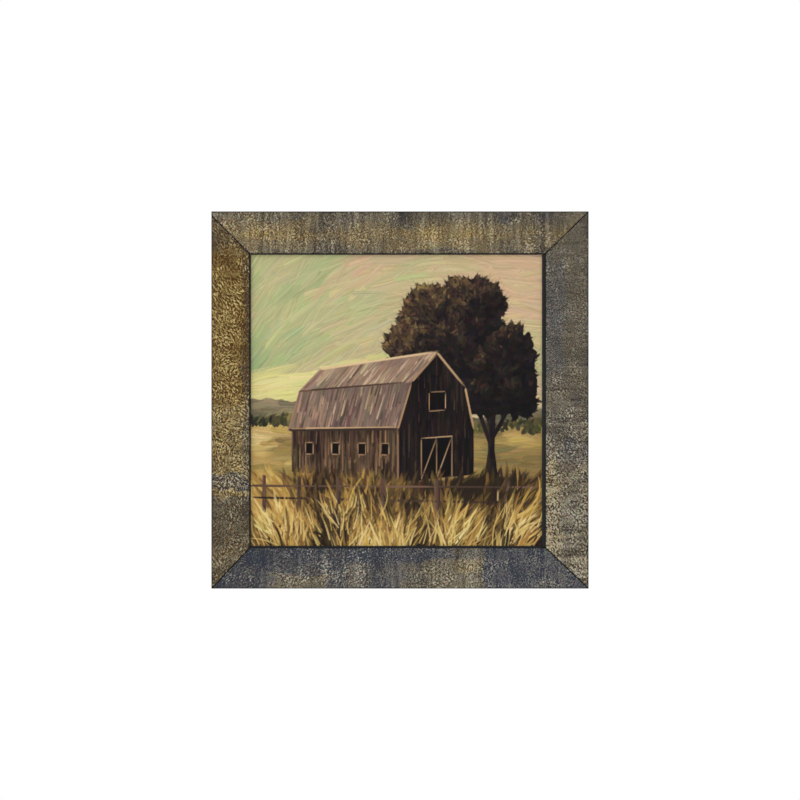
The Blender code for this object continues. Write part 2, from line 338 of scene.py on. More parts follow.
def blurred_noise(rng, shape, step, across, along, low=None):
    """White noise blurred by a Gaussian of those spreads, scaled to a spread of 1.

    The blur is a product in the frequency domain. With low, what is smoother
    than that spread is taken out again, which leaves grains of one size.
    """
    spectrum = np.fft.rfft2(rng.standard_normal(shape))
    rows = np.fft.fftfreq(shape[0], step)[:, None]
    columns = np.fft.rfftfreq(shape[1], step)[None, :]
    spectrum *= np.exp(-2 * np.pi**2 * ((across * rows) ** 2 + (along * columns) ** 2))
    if low:
        spectrum *= 1 - np.exp(-2 * np.pi**2 * low**2 * (rows**2 + columns**2))
    return unit(np.fft.irfft2(spectrum, s=shape))


def soft_noise(rng, across, along, low=None):
    """Blurred noise on a rail's raster, with spreads in metres."""
    return blurred_noise(rng, MAP_SHAPE, RASTER, across, along, low)


def read_map(field, row, column):
    """The map's value between its samples, linear both ways and wrapped at its edges."""
    low_row, low_column = np.floor(row).astype(int), np.floor(column).astype(int)
    value = 0.0
    for down in (0, 1):
        for on in (0, 1):
            share = np.abs(1 - down - row + low_row) * np.abs(1 - on - column + low_column)
            sample = field[(low_row + down) % MAP_SHAPE[0], (low_column + on) % MAP_SHAPE[1]]
            value = value + share * sample
    return value


def combed(field, angle, reach, steps=5):
    """Noise averaged along the curves that follow the angle, for reach metres each way."""
    total = field.copy()
    step = reach / steps / RASTER
    for way in (-1, 1):
        row, column = np.indices(field.shape).astype(float)
        for k in range(steps):
            heading = read_map(angle, row, column)
            row += way * step * np.sin(heading)
            column += way * step * np.cos(heading)
            total += (1 - k / steps) * read_map(field, row, column)
    return unit(total)


# How the grain lies on each rail: the flecks' main angle from the rail's length, how
# far they wander from it and their share of the usual length, and the weight of saw
# marks and of clouds.
Grain = namedtuple("Grain", "lie wander reach saw cloud")
GRAIN = {
    "top": Grain(1.1, 1.1, 0.6, 0.42, 0.05),
    "right": Grain(1.2, 1.0, 0.7, 0.30, 0.10),
    "bottom": Grain(0.9, 1.1, 0.6, 0.26, 0.03),
    "left": Grain(0.0, 0.55, 1.0, 0.18, 0.05),
}

# On average on each rail: the rubbed paint, how much it differs from fleck to fleck,
# its gold against pewter, and the slate against umber in the wash under it.
WHOLE = {
    "top": (0.193, 0.136, 0.52, 0.08),
    "right": (0.170, 0.146, 0.21, 0.22),
    "bottom": (0.081, 0.092, 0.00, 0.90),
    "left": (0.208, 0.226, 1.00, -0.10),
}

# Where the finish changes on a rail: from and to along it, clockwise and as shares of
# its length, from and to across its face, from the inner edge, how soft the patch's
# edges are, and what it adds to those four.
PATCHES = {
    "top": (
        (-0.1, 1.1, 0.80, 1.2, 0.12, -0.045, -0.03, -0.2, 0.06),
        (-0.1, 1.1, -0.2, 0.10, 0.08, -0.04, -0.02, -0.2, 0.10),
        (-0.1, 1.1, 0.34, 0.60, 0.14, 0.035, 0.03, 0.15, 0.0),
        (0.09, 0.12, -0.1, 1.1, 0.012, 0.04, 0.02, 0.1, 0.0),
        (0.10, 0.26, 0.30, 0.60, 0.06, 0.01, 0.02, 0.08, 0.0),
        (0.90, 1.1, -0.1, 1.1, 0.02, 0.06, 0.02, 0.05, 0.0),
        (0.53, 0.72, 0.10, 0.62, 0.05, 0.06, 0.02, 0.1, -0.1),
        (0.74, 1.0, -0.1, 1.1, 0.03, -0.018, -0.01, -0.05, 0.05),
        (0.27, 0.33, -0.1, 1.1, 0.02, -0.05, -0.02, -0.1, 0.12),
        (0.48, 0.54, 0.55, 1.1, 0.03, -0.05, -0.02, -0.2, 0.15),
        (0.76, 0.80, 0.80, 1.1, 0.02, -0.05, -0.02, -0.2, 0.5),
        (0.86, 0.90, -0.1, 1.1, 0.02, -0.05, -0.02, -0.1, 0.2),
    ),
    "right": (
        (-0.1, 0.44, -0.1, 1.1, 0.12, -0.05, -0.075, 0.1, 0.0),
        (0.11, 0.42, -0.1, 0.42, 0.04, -0.01, 0.0, -0.2, 0.3),
        (0.66, 0.94, -0.1, 0.32, 0.03, 0.12, 0.14, 0.12, -0.2),
        (0.54, 0.80, -0.1, 1.1, 0.04, 0.035, 0.03, 0.03, 0.0),
        (0.66, 1.1, -0.1, 1.1, 0.02, 0.03, 0.08, 0.0, -0.1),
        (0.61, 0.67, 0.30, 1.1, 0.015, -0.05, -0.03, -0.1, 0.3),
        (0.66, 0.755, -0.1, 1.1, 0.03, 0.08, 0.03, 0.08, 0.0),
        (0.83, 0.95, -0.1, 1.1, 0.03, 0.05, 0.02, 0.06, 0.0),
        (-0.1, 1.1, 0.93, 1.2, 0.05, -0.03, -0.01, 0.1, 0.1),
    ),
    "bottom": (
        (-0.1, 1.1, 0.40, 1.2, 0.20, 0.04, 0.02, 0.05, -0.12),
        (0.275, 0.43, 0.32, 1.1, 0.006, 0.06, 0.04, 0.20, -0.6),
        (0.275, 0.35, -0.2, 0.6, 0.006, 0.06, 0.04, 0.20, -0.4),
        (0.43, 0.50, 0.35, 1.1, 0.01, 0.04, 0.02, 0.15, -0.4),
        (0.10, 0.28, 0.45, 0.90, 0.008, -0.035, -0.02, -0.1, 0.3),
        (0.36, 0.62, -0.2, 0.35, 0.04, -0.015, -0.01, -0.1, 0.1),
        (0.68, 0.84, 0.70, 1.1, 0.015, 0.08, 0.05, 0.2, -0.8),
        (0.58, 0.64, 0.40, 1.1, 0.015, 0.05, 0.03, 0.1, -0.4),
        (-0.1, 0.275, -0.1, 1.1, 0.006, 0.01, 0.0, 0.0, 0.2),
        (0.32, 0.52, -0.2, 1.1, 0.03, 0.035, 0.02, 0.03, -0.08),
        (0.88, 1.1, -0.1, 1.1, 0.03, -0.05, -0.03, 0.0, 0.0),
    ),
    "left": (
        (-0.2, 0.245, -0.2, 1.1, 0.004, -0.11, -0.12, -0.55, 0.10),
        (0.270, 0.295, 0.0, 1.1, 0.005, -0.125, -0.03, -0.45, 0.42),
        (0.247, 0.268, -0.1, 1.1, 0.004, 0.07, 0.03, -0.15, 0.0),
        (-0.2, 0.17, -0.1, 1.1, 0.03, 0.05, 0.04, 0.03, 0.0),
        (0.245, 0.50, -0.1, 1.1, 0.06, 0.07, 0.07, -0.22, 0.0),
        (0.52, 0.90, -0.1, 1.1, 0.06, -0.03, -0.03, 0.1, 0.0),
        (0.90, 1.1, -0.1, 1.1, 0.03, -0.06, -0.06, -0.45, 0.1),
        (0.24, 1.1, -0.2, 0.16, 0.08, -0.10, -0.08, -0.25, 0.2),
        (0.89, 1.1, 0.55, 1.1, 0.03, -0.07, -0.08, 0.1, 0.0),
    ),
}


def finish_maps(side, settings):
    """The maps of one rail: fibre height, saw marks, rubbed paint, gilt and slate.

    The flecks are noise combed along a wandering direction, thin and wide ones laid
    over each other and gathered in clusters. Saw marks are noise stretched across
    the rail and clouds are wide noise. Their sum, shifted and spread as the patches
    say, is the share of the surface that the paint covers.
    """
    rng = np.random.default_rng(settings.seed + SIDES.index(side))
    grain = GRAIN[side]
    width = settings.fleck_width
    wide = 1.6 * width
    angle = grain.lie + grain.wander * soft_noise(rng, 6 * MM, 8 * MM)
    reach = settings.fleck_length * grain.reach
    fleck = combed(soft_noise(rng, width, width, 3 * width), angle, reach)
    fleck += 0.4 * combed(soft_noise(rng, wide, wide, 3 * wide), angle + 0.5, 1.2 * reach)
    fleck *= 1 + 0.45 * soft_noise(rng, 2.4 * MM, 3 * MM)
    fleck += 0.14 * soft_noise(rng, 1.8 * MM, 2.4 * MM)
    fine = soft_noise(rng, 0.9 * width, 0.9 * width)
    saw = unit(soft_noise(rng, 11 * MM, 1.1 * MM) + 0.5 * soft_noise(rng, 14 * MM, 5 * MM))
    cloud = soft_noise(rng, 6 * MM, 8 * MM)
    fibre = unit(fleck + 0.7 * fine)
    mixed = unit(fibre * (1 + 0.25 * cloud) + grain.saw * saw + grain.cloud * cloud)

    row, column = np.indices(fibre.shape) * RASTER
    across = (row - MAP_EDGE[0]) / FACE[side] + 0.05 * soft_noise(rng, 5 * MM, 12 * MM)
    along = (column - MAP_EDGE[1]) / (2 * HALF) + 0.006 * soft_noise(rng, 4 * MM, 4 * MM)
    levels = [np.full(fibre.shape, value) for value in WHOLE[side]]
    for start, stop, low, high, soft, *changes in PATCHES[side]:
        softer = max(soft, 0.04)
        within = smoothstep(start - soft, start + soft, along)
        within *= 1 - smoothstep(stop - soft, stop + soft, along)
        within *= smoothstep(low - softer, low + softer, across)
        within *= 1 - smoothstep(high - softer, high + softer, across)
        for level, change in zip(levels, changes):
            level += change * within
    rub, flecks, gilt, slate = levels
    rub = rub + np.maximum(flecks, 0.03) * (mixed + 0.28 * (mixed**2 - 1))
    gilt = gilt + 0.08 * soft_noise(rng, 0.9 * MM, 0.9 * MM) + 0.03 * cloud
    gilt = np.minimum(gilt, 1) - 0.08 * np.maximum(mixed, 0)
    slate = slate + 0.08 * soft_noise(rng, 4 * MM, 6 * MM)
    return {
        "fibre": fibre,
        "saw": saw + 0.4 * cloud,
        "rub": np.clip(rub * settings.rub, 0, 1),
        "gilt": np.clip(gilt, 0, 1),
        "slate": np.clip(slate, 0, 1),
    }


# Rails.

LEVEL_STEP = 0.7 * MM  # between the rows of the face
OUTER_EASE = 1.4 * MM  # worn round along the outer front edge
INNER_EASE = 0.7 * MM
MITRE_EASE = 0.6 * MM
BACK_ARRIS = 0.5 * MM
SIDE_ROWS = 12
WALL_ROWS = 5
LOGISTIC = 1.702  # at this scale the logistic curve comes closest to the normal one

# The columns from mitre to mitre as shares of the rail, closer where it is eased.
NEAR = np.array([0.0, 0.2, 0.45, 0.8, 1.25]) * MM / (2 * HALF)
ALONG = np.concatenate([NEAR, np.linspace(NEAR[-1], 1 - NEAR[-1], 782)[1:-1], 1 - NEAR[::-1]])


def mitre_ends(side, z):
    """The x where the rail begins and ends at each z, half a joint inside its mitres."""
    ends = []
    for end in (-1, 1):
        neighbour = SIDES[(SIDES.index(side) + end) % 4]
        first = side if end > 0 else neighbour
        slope = 1.0 if first == SQUARE_CORNER else FACE[neighbour] / FACE[side]
        reach = HALF - FACE[neighbour] + (z - HALF + FACE[side]) * slope
        ends.append(end * np.minimum(reach - JOINT / 2 * math.hypot(1.0, slope), HALF))
    return ends


def snap(levels, value):
    """Moves the level nearest to a value onto it, and gives its index."""
    index = int(np.argmin(np.abs(levels - value)))
    levels[index] = value
    return index


def rail_section(side):
    """The rows of a rail's section, (y, z) going round it, and what each row is.

    Front rows go from the inner to the outer edge, then the side, the back, the
    rabbet's wall and the lip bring them round. Back rows share the height of some
    of the front rows, so that the ends can be closed by flat faces between them.
    The last result pairs each such front row with the row behind it.
    """
    outer, inner = HALF, HALF - FACE[side]
    count = int((FACE[side] - INNER_EASE - OUTER_EASE) / LEVEL_STEP)
    inner_rows = inner + INNER_EASE * np.array([0.0, 0.25, 0.6])
    face_rows = np.linspace(inner + INNER_EASE, outer - OUTER_EASE, count)
    outer_rows = outer - OUTER_EASE * np.array([0.7, 0.4, 0.15, 0.0])
    front = np.concatenate([inner_rows, face_rows, outer_rows])
    last = len(front) - 1
    wall = snap(front, inner + RABBET)
    # Where the square corner's joint leaves the top rail's mitre for its outer side.
    fold = snap(front, HALF - FACE["top"] + FACE["left"]) if side == "top" else last - 7
    front_y = OUTER_EASE * (1 - np.sqrt(1 - ramp(outer - OUTER_EASE, outer, front) ** 2))
    front_y += INNER_EASE * (1 - np.sqrt(1 - ramp(inner + INNER_EASE, inner, front) ** 2))

    shared = sorted({*range(wall + 4, last - 4, 4), fold})
    rows = [
        ("front", front_y, front),
        ("side", np.linspace(OUTER_EASE + 0.8 * MM, DEPTH - BACK_ARRIS, SIDE_ROWS), outer),
        ("back", [DEPTH], outer - BACK_ARRIS),
        ("back", np.full(len(shared), DEPTH), front[shared][::-1]),
        ("back", [DEPTH], inner + RABBET + BACK_ARRIS),
        ("wall", np.linspace(DEPTH - BACK_ARRIS, LIP, WALL_ROWS), inner + RABBET),
        ("lip", [LIP, LIP], [inner + RABBET * 0.5, inner]),
        ("lip", [LIP * 0.7], inner),
    ]
    kind = np.concatenate([[name] * len(y) for name, y, _ in rows])
    y = np.concatenate([y for _, y, _ in rows])
    z = np.concatenate([np.broadcast_to(z, len(y)) for _, y, z in rows])
    last_shared = last + SIDE_ROWS + 1 + len(shared)
    pairs = [(0, len(y)), (wall, len(y) - 4)]
    pairs += [(level, last_shared - step) for step, level in enumerate(shared)]
    return kind, y, z, [*pairs, (last, last)]


def rail_end_faces(pairs, columns, column):
    """Closes one end of a rail: a face between each two pairs of front and back rows."""
    faces = []
    for (front_a, back_a), (front_b, back_b) in zip(pairs, pairs[1:]):
        along_front = list(range(front_a, front_b + 1))
        along_back = list(range(max(back_b, front_b + 1), back_a + 1))
        loop = [row for row in along_front + along_back if row < pairs[0][1]]
        faces.append(np.array([loop]) * columns + column)
    return faces


def make_rail(side, settings, material):
    """A mitred length of sawn moulding with its finish in vertex attributes.

    The surface is the section carried from mitre to mitre. On the face a point
    sinks by how low the fibre and the saw marks lie there, and by the wear along
    the edges and joints, so nothing stands proud of the planed size. The wear, and
    the near-black colour along the edges, fall off from an edge as a bell curve
    whose width wanders.
    """
    kind, y, z, pairs = rail_section(side)
    rows, columns = len(y), len(ALONG)
    start, stop = mitre_ends(side, z)
    x = start[:, None] + (stop - start)[:, None] * ALONG
    y = np.repeat(y[:, None], columns, 1)
    z = np.repeat(z[:, None], columns, 1)
    front, aside, back, lip = ((kind == k)[:, None] for k in ("front", "side", "back", "lip"))

    maps = finish_maps(side, settings)
    to_inner = z - HALF + FACE[side]
    row = (np.where(aside, FACE[side] + y, to_inner) + MAP_EDGE[0]) / RASTER
    column = (x + HALF + MAP_EDGE[1]) / RASTER
    fields = {name: read_map(field, row, column) for name, field in maps.items()}
    rng = np.random.default_rng(settings.seed + 40 + SIDES.index(side))
    worn = read_map(soft_noise(rng, 3 * MM, 2.5 * MM), row, column)

    height = settings.fibre_height * fields["fibre"] + settings.saw_depth * fields["saw"]
    sink = np.maximum(2.2 * (settings.fibre_height + settings.saw_depth) - height, 0)
    to_mitre = np.minimum(x - x[:, :1], x[:, -1:] - x) / math.sqrt(2)
    to_outer = np.where(aside, y - OUTER_EASE, HALF - z)
    outer_width = 1.25 * MM + 0.3 * MM * worn
    inner_width = 0.55 * MM + 0.15 * MM * worn
    outer_edge_band = np.exp(-((to_outer / outer_width) ** 2)) * (front | aside)
    inner_edge_band = np.exp(-((to_inner / inner_width) ** 2)) * front
    nick = np.maximum(worn - 1.1, 0) * 0.35 * MM
    joint = 0.5 * MM * ramp(MITRE_EASE, 0, to_mitre) ** 2
    side_sink = sink * ramp(OUTER_EASE, OUTER_EASE + 2 * MM, y) * ramp(DEPTH, DEPTH - MM, y)
    y = np.where(front, y + sink + joint + nick * (outer_edge_band + inner_edge_band), y)
    z = np.where(aside, z - side_sink, z)

    ends = [rail_end_faces(pairs, columns, end) for end in (0, columns - 1)]
    body = cells(closed_rows(rows, columns))
    faces = [body, *ends[0], *(face[:, ::-1] for face in ends[1])]
    piece = build("sawn_rail_" + side, turn(np.stack([x, y, z], -1), side), faces, 50.0)

    # Stain spills round the outer edge and the joints on to the bare wood behind.
    to_stain = np.minimum(to_outer, to_mitre + 3 * MM) + 0.6 * MM * worn
    spill = np.where(back, smoothstep(0.2 * MM, 3 * MM, to_stain), 1.0)
    # The colour darkens along the outer and inner edges by these bell curves, and turns near-black
    # within a millimetre of the joints.
    edge_darkening = outer_edge_band * 0.9 + inner_edge_band * 0.8 + 1
    edge_darkening = np.clip(edge_darkening - smoothstep(0.5 * MM, 0.95 * MM, to_mitre), 0, 1)
    dimmed = np.where(front, 1.0, np.where(aside, 0.6, 0.0))
    covered = np.clip(fields["rub"] * dimmed, 0.002, 0.998)
    point_attribute(piece, "level", np.log((1 - covered) / covered) / LOGISTIC)
    point_attribute(piece, "gilt", fields["gilt"])
    point_attribute(piece, "slate", fields["slate"])
    point_attribute(piece, "bare", np.isin(kind, ["back", "wall"])[:, None] * spill)
    point_attribute(piece, "dark", np.where(front | aside, edge_darkening, lip))
    rail_maps(piece, kind, x, y, z - HALF + FACE[side], len(body))
    return place(piece, material, "rail_wood", "rail_" + side)


def rail_maps(piece, kind, x, y, up, body_faces):
    """Gives a rail its two UV maps, "grain" and "OFBake".

    "grain" is metres along the rail and round it. "OFBake" holds the face in two half
    lengths, the rest at a smaller scale in two more, and the ends beside them.
    """
    rows, columns = x.shape
    middle = (columns - 1) // 2
    section = np.stack([y[:, columns // 2], up[:, columns // 2]], -1)
    around = travelled(np.vstack([section, section[:1]]))
    face = face_of_corner(piece)
    row, column = np.divmod(corner_vertices(piece), columns)
    is_end = face >= body_faces
    face_row, face_column = np.divmod(np.where(is_end, 0, face), columns - 1)
    wraps = (face_row == rows - 1) & (row == 0) & ~is_end
    round_place = np.where(wraps, around[-1], around[row])
    along = x[row, column]
    corner_map(piece, "grain", np.stack([along, round_place], -1))

    # The big scale is of the face and the small one of the rest, in map units a metre.
    split = x[:, middle]
    big = 0.98 / (HALF + max(split.max(), -split.min()))
    first_side = np.argmax(kind == "side")
    rest = around[first_side - 1]
    big_strip = big * around[first_side] * 1.02
    small_strip = (0.98 - 2 * big_strip) / 2
    small = small_strip / (around[-1] - rest) * 0.97
    on_front = kind[face_row] == "front"
    late = face_column >= middle
    scale = np.where(on_front, big, small)
    from_half = np.where(late, along - split.min(), along + HALF)
    low = np.where(on_front, 0.005, 0.01 + 2 * big_strip)
    strip = np.where(on_front, big_strip, small_strip)
    u = 0.01 + from_half * scale
    v = low + late * strip + (round_place - np.where(on_front, 0.0, rest)) * scale
    end_u = 0.02 + small * (HALF + up[row, column])
    end_v = 0.55 + np.where(column == 0, 0.0, 0.2) + y[row, column] * small
    places = np.stack([np.where(is_end, end_u, u), np.where(is_end, end_v, v)], -1)
    corner_map(piece, "OFBake", places)


# The painting, worked out in shares of the sight opening from its lower left corner.

CANVAS = 920  # samples each way
SHARES = (np.arange(CANVAS) + 0.5) / CANVAS
ACROSS, UP = np.meshgrid(SHARES, SHARES)
SIGHT = 353.2  # millimetres, to give the strokes' sizes
UPRIGHT = math.pi / 2  # a heading

PALETTES = {
    "sky": "#9aab7a #a8b17d #b2b281 #bdb286 #c6b189 #c8ab88",
    "glow": "#c4bb7e #d3ca86 #dfd493",
    "hill": "#57523f #6f6650 #84775c #988a69",
    "field": "#7a6840 #97804c #b29457 #c5a867 #d2ba7e",
    "leaf": "#25231b #343224 #4a472b #625b33 #7f7541",
    "tree": "#120e10 #1c1617 #2c221e #423227 #614c33 #856f45",
    "roof": "#51413a #6a574e #7d6659 #917664 #a88d74 #c0a988",
    "wall": "#1f1613 #33251e #4c392c #6a523e #916f51 #b58d68",
    "dark": "#0c090b #161112 #231a19 #342723 #503d31",
    "trim": "#382b26 #89694f #c29f77 #dfc296",
    "post": "#221a17 #43332a #75594a #aa8964",
    "grass": "#291f16 #4f3c22 #7a5e33 #a07e43 #bd954d #d6b86d #ead89d",
}


def tones(palette, value):
    """The palette's colours at values from 0 to 1, between its even stops."""
    stops = np.array([shares(text) for text in PALETTES[palette].split()])
    steps = np.arange(len(stops))
    spot = np.clip(value, 0, 1) * steps[-1]
    return np.stack([np.interp(spot, steps, part) for part in stops.T], -1)


def inside(corners, soft=0.0015):
    """1 within a polygon and 0 outside it, with a soft edge.

    A place is inside if a level line from it crosses the outline an odd number
    of times. The softness goes by the distance to the nearest side.
    """
    within = np.zeros(ACROSS.shape, bool)
    nearest = np.full(ACROSS.shape, 9.0)
    for (x_a, y_a), (x_b, y_b) in zip(corners, [*corners[1:], corners[0]]):
        run, rise = x_b - x_a, y_b - y_a
        if rise:
            within ^= ((y_a > UP) != (y_b > UP)) & (ACROSS < x_a + (UP - y_a) * run / rise)
        share = ((ACROSS - x_a) * run + (UP - y_a) * rise) / (run**2 + rise**2)
        share = np.clip(share, 0, 1)
        away = np.hypot(ACROSS - x_a - share * run, UP - y_a - share * rise)
        nearest = np.minimum(nearest, away)
    return smoothstep(-soft, soft, np.where(within, nearest, -nearest))


class Canvas:
    """A painting under way, with the brush's bristles and noises to vary its colours."""

    def __init__(self, settings):
        self.rng = np.random.default_rng(settings.seed)
        self.brush = settings.brush
        self.paint = np.zeros((CANVAS, CANVAS, 3))
        kernel = np.exp(-(np.linspace(-2, 2, 9) ** 2))
        self.bristles = unit(np.convolve(self.rng.standard_normal(4096), kernel, "same"))
        self.streak = settings.streak
        self.broad, self.middle, self.fine = (
            blurred_noise(self.rng, (CANVAS, CANVAS), 1 / CANVAS, size, size)
            for size in (0.065, 0.025, 0.008)
        )

    def stroke(
        self, x, y, heading, length, width, bend, colour, mask=None, dry=0.5, cover=1.0
    ):
        """One stroke of the brush about (x, y): a parabola of that heading and bend.

        Its half width rises as a root at the start and falls as a root at a ragged
        end. Each bristle has its own tone and runs dry at its own time.
        """
        cosine, sine = math.cos(heading), math.sin(heading)
        room = width + abs(bend) * (length + width) ** 2 / 8
        half_x = abs(cosine) * (length + width) / 2 + abs(sine) * room
        half_y = abs(sine) * (length + width) / 2 + abs(cosine) * room
        left, right = max(int((x - half_x) * CANVAS), 0), int((x + half_x) * CANVAS) + 2
        low, high = max(int((y - half_y) * CANVAS), 0), int((y + half_y) * CANVAS) + 2
        window = (slice(low, max(high, low)), slice(left, max(right, left)))
        away_x, away_y = ACROSS[window] - x, UP[window] - y
        if not away_x.size:
            return
        along = away_x * cosine + away_y * sine
        aside = (away_y * cosine - away_x * sine - bend * along**2 / 2) / (width / 2)
        along = along / length + 0.5
        seed = self.rng.integers(4096)
        bristle = np.round((aside + 1) * 22).astype(int)
        tone = self.bristles[(seed + bristle) % 4096]
        ragged = self.bristles[(seed * 7 + bristle) % 4096]
        start = np.clip((along * length + 0.25 * width) / (0.6 * width), 0, 1)
        end = np.clip((1 + 0.1 * dry * ragged - along) * length / (1.6 * width), 0, 1)
        edge = 2.0 / (width * CANVAS)
        cover = cover * smoothstep(-edge, edge, np.sqrt(start * end) - np.abs(aside))
        cover = cover * (1 - dry * smoothstep(0.45, 1.05, along + 0.22 * ragged))
        if mask is not None:
            cover = cover * mask[window]
        shade = 1 + self.streak * (tone + 0.35 * aside)
        paint = self.paint[window]
        paint += cover[..., None] * (colour * shade[..., None] - paint)

    def fill(
        self, palette, where, value, heading, count, length, width, mask=None,
        bend=0.0, jitter=0.08, wander=0.1, dry=0.5, cover=1.0, far_first=False,
    ):
        """Strokes scattered where a map allows, with sizes in millimetres.

        The value picks the palette's tone. It and the heading are numbers or maps,
        which jitter and wander vary. A mask keeps the strokes within it, and
        far_first paints the upper ones first.
        """
        rng = self.rng
        spread = rng.random((int(count / max(where.mean(), 0.002) * 1.3) + 50, 3))
        column, row = (spread[:, :2].T * CANVAS).astype(int)
        kept = where[row, column] > spread[:, 2]
        x, y, row, column = (part[kept][:count] for part in (*spread[:, :2].T, row, column))
        if far_first:
            order = np.argsort(0.02 * rng.standard_normal(len(y)) - y)
            x, y, row, column = x[order], y[order], row[order], column[order]
        whole = np.ones(where.shape)
        lean = (heading * whole)[row, column] + wander * rng.standard_normal(len(x))
        value = (value * whole)[row, column] + jitter * rng.standard_normal(len(x))
        colours = tones(palette, value) + 0.012 * rng.standard_normal((len(x), 3))
        lengths = rng.uniform(*length, len(x)) / SIGHT
        widths = rng.uniform(*width, len(x)) / SIGHT * self.brush
        bends = bend * rng.standard_normal(len(x))
        for stroke in zip(x, y, lean, lengths, widths, bends, colours):
            self.stroke(*stroke, mask, dry, cover)

    def line(self, palette, value, width, corners, repeats=3):
        """Long strokes laid over each other from corner to corner, none past a corner."""
        rng = self.rng
        for (x_a, y_a), (x_b, y_b) in zip(corners[:-1], corners[1:]):
            run, rise = x_b - x_a, y_b - y_a
            for _ in range(repeats):
                length = rng.uniform(0.75, 1.0)
                share = rng.uniform(length / 2, 1 - length / 2)
                heading = math.atan2(rise, run) + 0.006 * rng.standard_normal()
                colour = tones(palette, value + 0.08 * rng.standard_normal())
                wide = width / SIGHT * rng.uniform(0.7, 1.1)
                reach = math.hypot(run, rise) * length
                x, y = x_a + run * share, y_a + rise * share
                self.stroke(x, y, heading, reach, wide, 0.0, colour)

    def ground(self, palette, mask, value):
        """A thin flat coat under the strokes, so that no gap between them shows bare."""
        coat = tones(palette, value * np.ones(mask.shape))
        self.paint += mask[..., None] * (coat - self.paint)


def paint_sky(art):
    """Long strokes that fan out from low on the left, sage below and tan above."""
    value = 0.30 + 0.55 * ACROSS + 0.45 * (UP - 0.6) + 0.17 * art.broad + 0.10 * art.middle
    art.paint[:] = tones("sky", value)
    sky = smoothstep(0.38, 0.42, UP)
    fan = 0.75 * np.arctan2(UP - 0.3, ACROSS + 0.35) - 0.1
    fan += 0.35 * np.sin(3.2 * ACROSS + 2.1 * UP)
    for lift, count, length, width, bend, jitter, dry, wander, cover in (
        (0.00, 330, (45, 105), (10, 19), 1.2, 0.09, 0.5, 0.10, 1.0),
        (0.00, 620, (28, 72), (5, 11), 1.6, 0.09, 0.6, 0.20, 0.8),
        (0.05, 240, (20, 50), (2, 5), 1.6, 0.12, 0.9, 0.25, 0.6),
    ):
        art.fill(
            "sky", sky, value + lift, fan, count, length, width,
            bend=bend, jitter=jitter, dry=dry, wander=wander, cover=cover,
        )
    glow = smoothstep(0.10, 0.0, np.abs(UP - 0.53 - 0.1 * ACROSS)) * smoothstep(0.55, 0.0, ACROSS)
    value = 0.5 + 0.2 * art.middle
    art.fill("glow", glow, value, 0.2, 150, (25, 60), (3, 8), bend=1.5, dry=0.9, cover=0.7)


def paint_land(art):
    """Hills, a line of trees and mown fields, in level strokes."""
    ridge = 0.475 + 0.03 * np.sin(5.2 * ACROSS + 0.6) + 0.012 * np.sin(13 * ACROSS + 2)
    hills = smoothstep(-0.002, 0.002, ridge + 0.003 * art.fine - UP)
    slope = 0.1 * np.cos(5.2 * ACROSS + 0.6)
    value = 0.55 + 0.3 * art.middle + 2.0 * (UP - 0.47)
    seen = hills * smoothstep(0.34, 0.36, UP)
    art.ground("hill", hills, value)
    art.fill("hill", seen, value, slope, 330, (12, 45), (3, 8), mask=hills, bend=1.5, dry=0.4)
    brow = 0.415 + 0.012 * np.sin(6 * ACROSS + 2.2) - 0.02 * ACROSS
    fields = smoothstep(-0.002, 0.002, brow - UP)
    value = 0.55 + 0.22 * art.middle + 0.15 * art.broad - 0.35 * ACROSS
    seen = fields * smoothstep(0.12, 0.16, UP)
    art.ground("field", fields, value)
    art.fill("field", seen, value, 0.0, 560, (18, 60), (3, 8), mask=fields, bend=1.0)
    trees = smoothstep(0.022, 0.012, np.abs(UP - brow - 0.012 - 0.006 * art.middle))
    value = 0.4 + 0.2 * art.fine + 6 * (UP - brow - 0.01)
    art.fill("leaf", trees, value, 1.3, 520, (4, 10), (3, 6), dry=0.3, jitter=0.15, wander=0.6)


